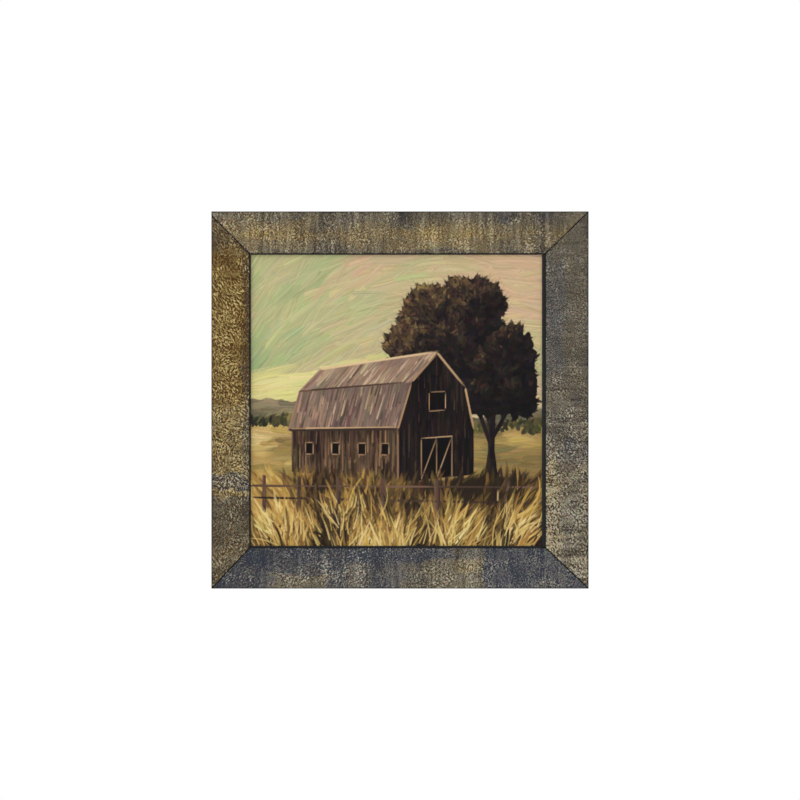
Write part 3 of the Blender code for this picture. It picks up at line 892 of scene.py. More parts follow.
def paint_tree(art):
    """A broad dark oak: a trunk, then short strokes that point out from its heart.

    The crown is the union of ellipses, given by centre and half width and height.
    """
    crown = np.full(ACROSS.shape, -1.0)
    heading = np.zeros(ACROSS.shape)
    height = np.zeros(ACROSS.shape)
    for x, y, wide, tall in (
        (0.70, 0.72, 0.20, 0.17),
        (0.57, 0.66, 0.12, 0.12),
        (0.84, 0.63, 0.14, 0.15),
        (0.76, 0.83, 0.12, 0.10),
        (0.63, 0.80, 0.10, 0.09),
        (0.90, 0.53, 0.09, 0.10),
        (0.78, 0.52, 0.10, 0.08),
    ):
        depth = 1 - np.hypot((ACROSS - x) / wide, (UP - y) / tall)
        nearer = depth > crown
        crown = np.where(nearer, depth, crown)
        heading = np.where(nearer, np.arctan2(UP - y + 0.4 * tall, ACROSS - x), heading)
        height = np.where(nearer, (UP - y) / tall - 0.6 * (ACROSS - x) / wide, height)
    crown = smoothstep(0, 0.05, crown + 0.05 * art.middle + 0.06 * art.fine)
    left_side = [(0.808, 0.55), (0.815, 0.33)]
    right_side = [(0.836, 0.33), (0.842, 0.55)]
    trunk = inside([(0.797, 0.19), (0.853, 0.19), *right_side, *left_side])
    value = 0.25 + 9 * (0.83 - ACROSS)
    art.ground("tree", trunk, 0.2)
    art.fill("tree", trunk, value, 1.57, 90, (15, 40), (3, 6), mask=trunk, dry=0.4, wander=0.06)
    for low_end, high_end in (
        ((0.825, 0.36), (0.90, 0.50)),
        ((0.825, 0.34), (0.77, 0.50)),
        ((0.826, 0.42), (0.87, 0.58)),
    ):
        art.line("tree", 0.25, 5.0, (low_end, high_end), 4)
    art.ground("tree", smoothstep(0.6, 1.0, crown), 0.08)
    lit = 0.5 * height + 1.1 * (UP - 0.62) - 0.9 * (ACROSS - 0.74)
    bright = crown * smoothstep(0.0, 0.6, lit)
    middling = 0.20 + 0.30 * lit + 0.10 * art.fine
    pale = 0.40 + 0.34 * lit + 0.10 * art.fine
    for where, value, count, length, width, mask, dry, wander, bend, jitter in (
        (crown, 0.10, 300, (14, 30), (8, 13), crown, 0.3, 0.9, 0, 0.08),
        (crown, middling, 2300, (5, 13), (3, 6), None, 0.4, 0.5, 4, 0.06),
        (bright, pale, 700, (3, 9), (1.8, 4), None, 0.5, 0.6, 4, 0.10),
    ):
        art.fill(
            "tree", where, value, heading, count, length, width,
            mask=mask, dry=dry, wander=wander, bend=bend, jitter=jitter,
        )


def paint_barn(art):
    """A barn with a twice-sloped roof, painted board by board and plank by plank."""
    side = inside([(0.14, 0.255), (0.505, 0.215), (0.505, 0.405), (0.14, 0.40)])
    lower = inside([(0.125, 0.395), (0.515, 0.400), (0.555, 0.565), (0.165, 0.530)])
    upper = inside([(0.162, 0.528), (0.555, 0.562), (0.640, 0.665), (0.235, 0.605)])
    gable_edge = [(0.505, 0.402), (0.552, 0.562), (0.640, 0.662), (0.735, 0.545), (0.765, 0.400)]
    gable = inside([(0.505, 0.215), *gable_edge, (0.765, 0.245)])
    for roof, heading, tone in ((lower, 1.333, 0.34), (upper, 0.881, 0.62)):
        value = tone + 0.10 * art.middle + 0.5 * (0.36 - ACROSS)
        art.ground("roof", roof, value)
        art.fill(
            "roof", roof, value, heading, 420, (14, 42), (3, 7), mask=roof, wander=0.07, bend=0.6
        )
        art.fill(
            "roof", roof, tone, heading, 170, (10, 34), (1.0, 2.4),
            mask=roof, wander=0.05, jitter=0.28, dry=0.7,
        )
    shaded = 0.25 * smoothstep(0.36, 0.40, UP)
    for palette, wall, value in (
        ("wall", side, 0.38 + 0.13 * art.middle - shaded),
        ("dark", gable, 0.28 + 0.12 * art.middle + 0.25 * (UP - 0.4)),
    ):
        art.ground(palette, wall, value)
        art.fill(
            palette, wall, value, UPRIGHT, 460, (14, 38), (2.5, 5), mask=wall, dry=0.4, wander=0.03
        )
        art.fill(
            palette, wall, 0.42, UPRIGHT, 240, (10, 40), (0.8, 2),
            mask=wall, dry=0.7, wander=0.02, jitter=0.3, cover=0.75,
        )
    openings = [
        [(0.585, 0.224), (0.690, 0.236), (0.690, 0.376), (0.585, 0.369)],
        [(0.612, 0.462), (0.668, 0.466), (0.668, 0.530), (0.612, 0.528)],
    ]
    for x in (0.20, 0.29, 0.38, 0.46):
        y = 0.337 - 0.012 * x
        spots = ((-0.013, -0.019), (0.013, -0.02), (0.013, 0.02), (-0.013, 0.02))
        openings.append([(x + right, y + up) for right, up in spots])
    for corners in openings:
        hole = inside(corners)
        art.ground("dark", hole, 0.03)
        art.fill(
            "dark", hole, 0.03, UPRIGHT, 60, (8, 22), (3, 5),
            mask=hole, dry=0.2, wander=0.02, jitter=0.04,
        )
        art.line("trim", 0.5, 1.2, [*corners, corners[0]], 2)
    for value, width, repeats, corners in (
        (0.45, 1.3, 2, [(0.6375, 0.23), (0.6375, 0.372)]),
        (0.45, 1.3, 2, [(0.585, 0.228), (0.6375, 0.370)]),
        (0.45, 1.3, 2, [(0.6375, 0.232), (0.690, 0.374)]),
        (0.05, 2.0, 3, [(0.165, 0.530), (0.555, 0.565)]),
        (0.90, 2.6, 4, [(0.235, 0.606), (0.640, 0.667)]),
        (0.00, 3.4, 4, [(0.125, 0.397), (0.515, 0.402)]),
        (0.60, 1.6, 3, [(0.125, 0.402), (0.515, 0.408)]),
        (0.55, 2.6, 3, gable_edge),
        (0.35, 1.8, 3, [(0.505, 0.215), (0.505, 0.402)]),
    ):
        art.line("trim", value, width, corners, repeats)


def paint_grass(art):
    """Tall dry grass in leaning tufts, painted from far to near, and a rail fence."""
    near = smoothstep(-0.01, 0.01, 0.235 + 0.01 * np.sin(9 * ACROSS) - UP - 0.01 * ACROSS)
    shadow = np.exp(-(((ACROSS - 0.66) / 0.2) ** 2) - ((UP - 0.205) / 0.05) ** 2)
    value = 0.52 + 0.14 * art.middle + 0.18 * art.broad - 0.5 * shadow
    value -= 0.22 * smoothstep(0.3, 0.9, ACROSS) + 0.15 * smoothstep(0.10, 0.0, UP)
    lean = 1.5 - 0.9 * (ACROSS - 0.5)
    tufts = lean + 0.35 * np.sin(23 * ACROSS)
    art.ground("grass", near, value)
    for heading, count, length, width, bend, jitter in (
        (lean, 460, (14, 34), (4, 8), 3, 0.08),
        (tufts, 1700, (14, 38), (1.5, 4), 5, 0.16),
    ):
        art.fill(
            "grass", near, value, heading, count, length, width,
            wander=0.25, bend=bend, jitter=jitter, far_first=True,
        )
    posts = (0.045, 0.165, 0.300, 0.455, 0.640, 0.880)
    for k, x in enumerate(posts):
        foot = 0.115 - 0.012 * k
        top = 0.24 - 0.004 * k
        half = 0.006 + 0.0011 * k
        head = [(x + 0.9 * half, top), (x - 0.9 * half, top + 0.004)]
        post = inside([(x - half, foot), (x + half, foot), *head])
        tone = 0.45 - 16 * (ACROSS - x)
        art.ground("post", post, tone)
        art.fill("post", post, tone, 1.571, 30, (12, 30), (2, 4), mask=post, dry=0.3, wander=0.03)
    ends = (0.0, *posts[1:], 1.0)
    art.line("post", 0.55, 2.2, [(x, 0.206 - 0.006 * x) for x in ends])
    art.line("post", 0.3, 2.6, [(x, 0.166 - 0.022 * x) for x in ends])
    front = smoothstep(0.19, 0.02, UP + 0.03 * np.sin(11 * ACROSS + 1))
    blades = lean + 0.35 * np.sin(31 * ACROSS + 3 * UP)
    art.fill(
        "grass", front, value + 0.06, blades, 900, (18, 52), (1.2, 3),
        wander=0.25, bend=6, jitter=0.22, far_first=True,
    )
    art.fill(
        "grass", front, 0.86, blades, 190, (14, 44), (1.0, 2.2),
        wander=0.2, bend=4, dry=0.9, cover=0.8,
    )


def painting(settings):
    """Paints the whole picture and gives its linear colours, from the bottom up."""
    art = Canvas(settings)
    for paint_part in (paint_sky, paint_land, paint_tree, paint_barn, paint_grass):
        paint_part(art)
    return linear(np.clip(art.paint, 0, 1))


# The print and the boards.


def slab(name, x, z, detailed, flat):
    """A closed sheet with one gridded face and one flat one, and its OFBake map.

    x and z are the grid's lines, detailed the y of each grid point in rows of z
    and flat the y of the other face. The gridded face fills most of the map, with
    the four sides in strips above it and the flat face squeezed in beside it.
    """
    rows, columns = detailed.shape
    grid = np.stack([*np.broadcast_arrays(x[None, :], detailed, z[:, None])], -1).reshape(-1, 3)
    index = np.arange(rows * columns).reshape(rows, columns)
    rim = np.concatenate([index[0, :-1], index[:-1, -1], index[-1, :0:-1], index[:0:-1, 0]])
    behind = grid[rim]
    behind[:, 1] = flat
    points = np.concatenate([grid, behind])
    far = rows * columns + np.arange(len(rim))
    front = cells(index)
    edges = np.stack([rim, far, np.roll(far, -1), np.roll(rim, -1)], -1)
    piece = build(name, points + CENTRE, [front, edges, far[None, ::-1]])
    spot = points[corner_vertices(piece)]
    u = 0.005 + 0.95 * (spot[:, 0] - x[0]) / (x[-1] - x[0])
    v = 0.005 + 0.95 * (spot[:, 2] - z[0]) / (z[-1] - z[0])
    depth = (spot[:, 1] - flat) / (detailed.mean() - flat)
    wall = face_of_corner(piece) - len(front)
    side = np.searchsorted(np.cumsum([columns - 1, rows - 1, columns - 1]), wall, side="right")
    on_wall = (wall >= 0) & (wall < len(rim))
    on_flat = wall >= len(rim)
    strip = 0.962 + 0.009 * side + 0.006 * depth
    u_wall = np.where(side % 2 == 0, u, v)
    u = np.where(on_wall, u_wall, np.where(on_flat, 0.962 + 0.03 * u, u))
    corner_map(piece, "OFBake", np.stack([u, np.where(on_wall, strip, v)], -1))
    return piece


def opening():
    """The sight opening inside the slips: left, right, low and high about the centre."""
    return (
        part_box("slip_left")[1].x - CENTRE[0],
        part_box("slip_right")[0].x - CENTRE[0],
        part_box("slip_bottom")[1].z - CENTRE[2],
        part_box("slip_top")[0].z - CENTRE[2],
    )


def make_print(settings, material):
    """The printed sheet: a flat grid with the painting in its corner colours.

    Each corner of a cell takes the mean of the quarter of the cell next to it, so
    the colours are twice as fine as the grid.
    """
    low, high = np.array(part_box("print_sheet")) - CENTRE
    left, right, bottom, top = opening()
    count = 306
    x = np.concatenate([[low[0]], np.linspace(left, right, count + 1), [high[0]]])
    z = np.concatenate([[low[2]], np.linspace(bottom, top, count + 1), [high[2]]])
    piece = slab("printed_sheet", x, z, np.full((len(z), len(x)), low[1]), high[1])

    edges = np.linspace(0, CANVAS, 2 * count + 1).astype(int)
    totals = np.add.reduceat(painting(settings), edges[:-1], 0)
    samples = np.diff(edges)
    art = np.add.reduceat(totals, edges[:-1], 1) / np.outer(samples, samples)[..., None]

    face = face_of_corner(piece)
    on_front = face < (count + 2) ** 2
    cell_row, cell_column = np.divmod(np.where(on_front, face, 0), count + 2)
    row, column = np.divmod(np.where(on_front, corner_vertices(piece), 0), count + 3)
    quarter_row = np.clip(2 * (cell_row - 1) + (row > cell_row), 0, 2 * count - 1)
    quarter_column = np.clip(2 * (cell_column - 1) + (column > cell_column), 0, 2 * count - 1)
    colours = np.ones((len(face), 4))
    colours[:, :3] = art[quarter_row, quarter_column]
    colours[~on_front, :3] = np.array(settings.paper)
    layer = piece.data.attributes.new("art", "FLOAT_COLOR", "CORNER")
    layer.data.foreach_set("color", colours.ravel().astype(np.float32))
    return place(piece, material, "print_face", "print_sheet")


def make_backing(settings, material):
    """The hardboard back, bulging by a crown that falls off as a cosine each way."""
    low, high = np.array(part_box("backing_board")) - CENTRE
    x = np.linspace(low[0], high[0], 141)
    z = np.linspace(low[2], high[2], 141)
    across = np.cos(np.pi * (x - x.mean()) / (x[-1] - x[0]))
    up = np.cos(np.pi * (z - z.mean()) / (z[-1] - z[0]))
    # The board is pinned at its edges, so only its middle reaches the full depth.
    bulge = high[1] - settings.crown * (1 - up[:, None] * across[None, :])
    piece = slab("hardboard_back", x, z, bulge, low[1])
    return place(piece, material, "hardboard", "backing_board")


# Slips and fasteners.


def rounded_section(steps=3, fill=4):
    """Where the points round a rectangle with round corners lie, as two (count, 2) arrays.

    The first is each point's place on the rectangle through the corners' centres, from
    -1 to 1 both ways. The second is its direction outwards from there. A point is the
    first times the half sizes less the radius, plus the second times the radius.
    """
    signs = np.array([(1, 1), (-1, 1), (-1, -1), (1, -1)])
    places, ways = [], []
    for quarter in range(4):
        angle = np.pi / 2 * (quarter + np.linspace(0, 1, steps + 1))
        arc = np.stack([np.cos(angle), np.sin(angle)], -1)
        share = np.linspace(0, 1, fill + 2)[1:-1, None]
        here, following = signs[quarter], signs[(quarter + 1) % 4]
        places += [np.tile(here, (steps + 1, 1)), here + (following - here) * share]
        ways += [arc, np.tile(arc[-1], (fill, 1))]
    return np.concatenate(places), np.concatenate(ways)


def plate(first, second, normal, thickness, radius=0.12 * MM):
    """A bent plate between two edges, each an array of points, with rounded edges.

    normal is the plate's direction of thickness at each point of the edges, of any
    length. The edges keep their radius while the width changes along the plate.
    """
    half = (second - first) / 2
    reach = np.linalg.norm(half, axis=1)[:, None]
    normal = normal / np.linalg.norm(normal, axis=1)[:, None]
    places, ways = rounded_section()
    through = places[:, 0] * (thickness / 2 - radius) + ways[:, 0] * radius
    across = places[:, 1, None, None] * (reach - radius) + ways[:, 1, None, None] * radius
    return (first + second) / 2 + across * half / reach + through[:, None, None] * normal


def make_slip(side, material):
    """A black strip with rounded edges, mitred at 45 degrees at both ends.

    The rounded section is carried in a straight line from mitre to mitre.
    """
    low, high = side_box("slip_" + side, side)
    half = (high - low) / 2
    radius = 0.4 * MM
    places, ways = rounded_section()
    section = places * (half[1:] - radius) + ways * radius
    y, z = ((low + high)[1:] / 2 + section).T[..., None]
    start = low[0] + (high[2] - z)
    stop = high[0] - (high[2] - z)
    x = start + (stop - start) * np.linspace(0, 1, 160)
    grid = np.stack(np.broadcast_arrays(x, y, z), -1)
    piece = tube("black_slip_" + side, turn(grid, side))
    return place(piece, material, "slip_paint", "slip_" + side)


def make_point(side, number, material):
    """A framer's point: a blade with a driven tip and a tail curved up for the thumb.

    The tip widens evenly, the tail's end is rounded as part of an ellipse and it
    lifts as a parabola.
    """
    node = f"point_{side}_{number}"
    low, high = side_box(node, side)
    middle = (low[0] + high[0]) / 2
    half = (high[0] - low[0]) / 2
    thickness = 0.6 * MM
    tip, tail, curved = 3.6 * MM, 1.2 * MM, 4.5 * MM  # lengths of its parts
    tip_z = np.linspace(high[2], high[2] - 3.8 * MM, 9)
    z = np.concatenate([tip_z, np.linspace(high[2] - 4.2 * MM, low[2], 22)])
    rounding = np.sqrt(1 - ramp(low[2] + tail, low[2], z) ** 2)
    width = half * (0.06 + 0.94 * ramp(high[2], high[2] - tip, z)) * (0.72 + 0.28 * rounding)
    lift = high[1] - low[1] - thickness
    y = low[1] + thickness / 2 + lift * ramp(low[2] + curved, low[2], z) ** 2
    normal = np.stack([0 * z, np.ones(len(z)), -np.gradient(y, z)], -1)
    first = np.stack([middle - width, y, z], -1)
    second = np.stack([middle + width, y, z], -1)
    grid = plate(first, second, normal, thickness)
    piece = tube(f"framers_point_{side}_{number}", turn(grid, side))
    return place(piece, material, "zinc_steel", node)


def make_wedge(side, number, material):
    """A V-shaped steel wedge across a joint, standing just proud of the wood.

    Seen from behind, its two legs are straight and meet in a quarter circle.
    """
    node = f"wedge_{side}_{number}"
    low, high = side_box(node, side)
    thickness = 0.8 * MM
    bend = 0.8 * MM
    proud = 0.15 * MM
    centre = thickness / 2  # of each leg, from its outer face
    angle = np.linspace(0, np.pi / 2, 7)
    straight = np.linspace(high[0] - low[0] - 0.2 * MM, centre + bend, 9)[:-1]
    flat = np.full(len(straight), centre)
    bend_x = centre + bend * (1 - np.sin(angle))
    bend_z = centre + bend * (1 - np.cos(angle))
    x = low[0] + np.concatenate([straight, bend_x, flat])
    z = low[2] + np.concatenate([flat, bend_z, straight[::-1]])
    normal = np.stack([-np.gradient(z), 0 * x, np.gradient(x)], -1)
    first = np.stack([x, np.full(len(x), low[1]), z], -1)
    second = np.stack([x, np.full(len(x), high[1] + proud), z], -1)
    grid = plate(first, second, normal, thickness)
    piece = tube(f"steel_wedge_{side}_{number}", turn(grid, side))
    return place(piece, material, "zinc_steel", node)


def make_hanger(material):
    """The toothed plate: round ends, a triangle wave of teeth and a bowed middle.

    The ends are half circles, and a smooth step brings the middle out from the wood.
    """
    low, high = np.array(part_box("hanger")) - CENTRE
    half = high[0]
    notch = -CENTRE[2]
    radius = (high[2] - notch) / 2
    thickness = 0.9 * MM
    teeth = 8
    pitch = 3 * MM
    depth = notch - low[2]
    toothed = teeth * pitch / 2
    ends = half - radius + radius * np.cos(np.linspace(0.06, np.pi / 2, 14))
    flat = np.linspace(half - radius, toothed, 22)[1:-1]
    right = np.concatenate([ends, flat, np.linspace(toothed, 0.0, 8 * teeth + 1)])
    x = np.concatenate([-right, right[-2::-1]])
    bulge = radius * np.sqrt(1 - (1 - ramp(half, half - radius, np.abs(x))) ** 2)
    wave = np.abs((x / pitch + 0.5) % 1 - 0.5) * 2
    bottom = notch + radius - bulge - np.where(np.abs(x) < toothed, depth * wave, 0.0)
    top = notch + radius + bulge
    bow = smoothstep(13.5 * MM, 17 * MM, np.abs(x))
    y = high[1] - thickness / 2 - (high[1] - low[1] - thickness) * bow
    normal = np.stack([-np.gradient(y, x), np.ones(len(x)), 0 * x], -1)
    first = np.stack([x, y, bottom], -1)
    second = np.stack([x, y, top], -1)
    grid = plate(first, second, normal, thickness, 0.2 * MM)
    piece = tube("sawtooth_hanger", grid + CENTRE)
    return place(piece, material, "zinc_steel", "hanger")


def turned(name, node, profile, steps=64):
    """A profile of (radius, y) rows turned about the axis through a CAD node's middle."""
    centre = np.array(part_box(node)).mean(0)
    angle = 2 * np.pi * np.arange(steps)[:, None] / steps
    radius, y = profile.T
    x = centre[0] + np.cos(angle) * radius
    z = centre[2] + np.sin(angle) * radius
    return tube(name, np.stack(np.broadcast_arrays(x, y, z), -1))


def make_nail(end, material):
    """A round-headed nail that holds the hanger: a domed head on a pointed shank.

    The dome is half an ellipse turned about the nail's axis.
    """
    node = "hanger_nail_" + end
    low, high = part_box(node)
    head = (high.x - low.x) / 2
    shank = 0.8 * MM
    dome = 0.7 * MM
    rim = high.y - dome
    point = [(0.1 * MM, low.y), (shank / 2, low.y + 0.8 * MM), (shank, low.y + 2 * MM)]
    angle = np.linspace(np.pi / 2, 0.12, 10)
    domed = np.stack([head * np.sin(angle), rim + dome * np.cos(angle)], -1)
    profile = np.concatenate([point, [(shank, rim)], domed])
    piece = turned("round_nail_" + end, node, profile, 40)
    return place(piece, material, "zinc_steel", node)


def make_pad(end, material):
    """A rubber pad: a low cylinder with a quarter round for its rim and a parabolic dish."""
    node = "pad_" + end
    low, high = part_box(node)
    radius = (high.x - low.x) / 2
    rim = 0.6 * MM
    dish = 0.25 * MM
    foot = [(radius * 0.98, low.y), (radius, low.y + 0.3 * MM)]
    angle = np.linspace(0, np.pi / 2, 7)
    drop = rim * (1 - np.sin(angle))
    rounded = np.stack([radius - rim * (1 - np.cos(angle)), high.y - drop], -1)
    spot = np.linspace(radius - rim * 1.6, 0.2 * MM, 10)
    dished = np.stack([spot, high.y - dish * (1 - (spot / radius) ** 2)], -1)
    profile = np.concatenate([foot, rounded, dished])
    piece = turned("rubber_pad_" + end, node, profile)
    return place(piece, material, "rubber_pad", node)


# Materials.


def add(tree, kind, inputs=(), **settings):
    """Adds a node of a kind, such as "Mix", with its settings and what goes into it.

    Inputs are a dict by name or number, or a sequence in the sockets' order, which
    for MapRange is the value, its range and the range to reach. Each is a number, a
    vector, a colour, a socket, or a node whose first output in use is linked.
    """
    node = tree.nodes.new("ShaderNode" + kind)
    for name, value in settings.items():
        setattr(node, name, value)
    for key, value in inputs.items() if isinstance(inputs, dict) else enumerate(inputs):
        socket = node.inputs[key]
        if isinstance(value, bpy.types.Node):
            value = next(output for output in value.outputs if output.enabled)
        if isinstance(value, bpy.types.NodeSocket):
            tree.links.new(value, socket)
        elif socket.type == "RGBA":
            socket.default_value = (*value, 1.0)
        else:
            socket.default_value = value
    return node


def new_material(name):
    """A material without any nodes, and its node tree."""
    made = bpy.data.materials.new(name)
    made.use_nodes = True
    made.node_tree.nodes.clear()
    return made, made.node_tree


def rubbed_paint_on_sawn_pine(settings):
    """Rough-sawn pine, washed dark, then rubbed with bronze and pewter paint.

    The saw leaves torn fibres that catch the paint, so the eye sees matt dark wood
    under small dull metallic flecks, nearly black edges and bare wood behind.
    """
    made, tree = new_material("rubbed_paint_on_sawn_pine")
    level, gilt, slate, bare, dark = (
        add(tree, "Attribute", attribute_name=name).outputs["Fac"]
        for name in ("level", "gilt", "slate", "bare", "dark")
    )
    grain = add(tree, "UVMap", uv_map="grain")
    where = add(tree, "TexCoord").outputs["Object"]

    # Fibres 0.35 mm wide and about 4 mm long, along the rail, darken and lighten it.
    stretched = add(tree, "Mapping", {"Vector": grain, "Scale": (250.0, 2900.0, 1.0)})
    fibre = add(tree, "TexNoise", {"Vector": stretched, "Scale": 1.0, "Detail": 3.0})
    shade = add(tree, "MapRange", (fibre, 0.3, 0.7, 0.6, 1.4))
    warm = add(tree, "MapRange", (gilt, 0.35, 1.0))
    wash = add(tree, "Mix", {0: warm, 6: settings.umber, 7: settings.ochre}, data_type="RGBA")
    wash = add(tree, "Mix", {0: slate, 6: wash, 7: settings.slate}, data_type="RGBA")
    darkening = {"data_type": "RGBA", "blend_type": "MULTIPLY"}
    wash = add(tree, "Mix", {0: 1.0, 6: wash, 7: shade}, **darkening)
    paint = add(tree, "Mix", {0: gilt, 6: settings.pewter, 7: settings.gold}, data_type="RGBA")

    # Specks of the dry paint, 0.3 mm wide and 0.6 mm long. The paint holds where the
    # grit stands higher than the level left bare.
    specks = add(tree, "Mapping", {"Vector": grain, "Scale": (1700.0, 3200.0, 1.0)})
    grit = add(tree, "TexNoise", {"Vector": specks, "Scale": 1.0, "Detail": 3.0})
    stands = add(tree, "MapRange", (grit, 0.42, 0.58, -1.0, 1.0), clamp=False)
    above = add(tree, "Math", (stands, level), operation="SUBTRACT")
    rub = add(tree, "MapRange", (above, -0.8, 0.8), interpolation_type="SMOOTHSTEP")
    colour = add(tree, "Mix", {0: rub, 6: wash, 7: paint}, data_type="RGBA")

    # Pigment that wasn't stirred well leans to green here and to red 2 mm further on.
    stirred = add(tree, "TexNoise", {"Vector": where, "Scale": 420.0, "Detail": 2.0})
    lean = add(tree, "MapRange", (stirred, 0.3, 0.7, 0.0, 1.0))
    greener, redder = linear("#effff9"), linear("#ffeff9")
    lean = add(tree, "Mix", {0: lean, 6: greener, 7: redder}, data_type="RGBA")
    colour = add(tree, "Mix", {0: 1.0, 6: colour, 7: lean}, **darkening)

    # Bare pine has growth rings 2.4 mm apart, and the stain ends on it in blotches.
    ringed = add(tree, "Mapping", {"Vector": grain, "Scale": (9.0, 420.0, 1.0)})
    year = {"Vector": ringed, "Scale": 1.0, "Detail": 5.0, "Distortion": 0.6}
    year = add(tree, "MapRange", (add(tree, "TexNoise", year), 0.3, 0.72, 1.1, 0.55))
    pine = add(tree, "Mix", {0: 1.0, 6: settings.raw, 7: year}, **darkening)
    pine = add(tree, "Mix", {0: 0.35, 6: pine, 7: shade}, **darkening)
    blotches = add(tree, "TexNoise", {"Vector": where, "Scale": 260.0, "Detail": 4.0})
    blotches = add(tree, "MapRange", (blotches, 0.40, 0.62, -0.25, 0.25))
    bared = add(tree, "Math", (bare, blotches), operation="ADD")
    bared = add(tree, "MapRange", (bared, 0.35, 0.75), interpolation_type="SMOOTHSTEP")
    colour = add(tree, "Mix", {0: bared, 6: colour, 7: pine}, data_type="RGBA")
    # Near-black along the edges and at the joints, and all over the painted lip, as the dark
    # attribute says.
    colour = add(tree, "Mix", {0: dark, 6: colour, 7: settings.edge_darkening}, data_type="RGBA")

    relief = add(tree, "Math", (fibre, grit), operation="ADD")
    finish = {
        "Base Color": colour,
        "Roughness": add(tree, "MapRange", (rub, 0.0, 1.0, 0.82, 0.5)),
        "Metallic": add(tree, "MapRange", (rub, 0.0, 1.0, 0.0, 0.2)),
        "Specular IOR Level": 0.22,
        "IOR": 1.45,
        "Normal": add(tree, "Bump", {"Strength": 0.8, "Distance": 0.16 * MM, "Height": relief}),
    }
    add(tree, "OutputMaterial", (add(tree, "BsdfPrincipled", finish),))
    return made


def brushed_black_paint(settings):
    """Wooden strip brushed with satin black paint.

    Brush marks run along it, so the eye sees a thin dark line with a dull gleam.
    They are 0.3 mm wide and about 17 mm long.
    """
    made, tree = new_material("brushed_satin_black_paint")
    grain = add(tree, "UVMap", uv_map="grain")
    drawn = add(tree, "Mapping", {"Vector": grain, "Scale": (60.0, 3500.0, 1.0)})
    marks = add(tree, "TexNoise", {"Vector": drawn, "Scale": 1.0, "Detail": 3.0})
    tone = add(tree, "MapRange", (marks, 0.3, 0.7, 0.8, 1.25))
    tinted = {0: 1.0, 6: settings.black, 7: tone}
    finish = {
        "Base Color": add(tree, "Mix", tinted, data_type="RGBA", blend_type="MULTIPLY"),
        "Roughness": 0.42,
        "IOR": 1.5,
        "Specular IOR Level": 0.3,
        "Normal": add(tree, "Bump", {"Strength": 0.4, "Distance": 0.06 * MM, "Height": marks}),
    }
    add(tree, "OutputMaterial", (add(tree, "BsdfPrincipled", finish),))
    return made


def matt_printed_paper(settings):
    """Thick cotton paper with the painting printed on it in matt inks.

    A tooth of 0.6 mm breaks up the light, so the eye sees soft colours without gloss.
    """
    made, tree = new_material("matt_printed_cotton_paper")
    where = add(tree, "TexCoord").outputs["Object"]
    tooth = add(tree, "TexNoise", {"Vector": where, "Scale": 1800.0, "Detail": 3.0})
    bump = {"Strength": 0.6, "Distance": settings.tooth, "Height": tooth}
    finish = {
        "Base Color": add(tree, "Attribute", attribute_name="art").outputs["Color"],
        "Roughness": 0.7,
        "Specular IOR Level": 0.12,
        "IOR": 1.5,
        "Normal": add(tree, "Bump", bump),
    }
    add(tree, "OutputMaterial", (add(tree, "BsdfPrincipled", finish),))
    return made


def pulp_board(settings):
    """Greyboard pressed from waste pulp.

    Scraps of other papers stay in it, so the eye sees darker and paler flecks, each
    about 0.7 mm wide.
    """
    made, tree = new_material("pressed_pulp_greyboard")
    where = add(tree, "TexCoord").outputs["Object"]
    flecks = add(tree, "TexNoise", {"Vector": where, "Scale": 1400.0, "Detail": 2.0})
    tone = add(tree, "MapRange", (flecks, 0.3, 0.7, 0.8, 1.15))
    tinted = {0: 1.0, 6: settings.greyboard, 7: tone}
    finish = {
        "Base Color": add(tree, "Mix", tinted, data_type="RGBA", blend_type="MULTIPLY"),
        "Roughness": 0.9,
    }
    add(tree, "OutputMaterial", (add(tree, "BsdfPrincipled", finish),))
    return made


def moulded_rubber(settings):
    """Soft black rubber from a blasted mould.

    The blasting leaves an even grain of 0.3 mm, so the eye sees a dull black.
    """
    made, tree = new_material("moulded_matt_rubber")
    where = add(tree, "TexCoord").outputs["Object"]
    grain = add(tree, "TexNoise", {"Vector": where, "Scale": 3000.0, "Detail": 2.0})
    tone = add(tree, "MapRange", (grain, 0.3, 0.7, 0.8, 1.25))
    tinted = {0: 1.0, 6: settings.rubber, 7: tone}
    finish = {
        "Base Color": add(tree, "Mix", tinted, data_type="RGBA", blend_type="MULTIPLY"),
        "Roughness": 0.75,
        "IOR": 1.52,
        "Normal": add(tree, "Bump", {"Strength": 0.4, "Distance": 0.03 * MM, "Height": grain}),
    }
    add(tree, "OutputMaterial", (add(tree, "BsdfPrincipled", finish),))
    return made


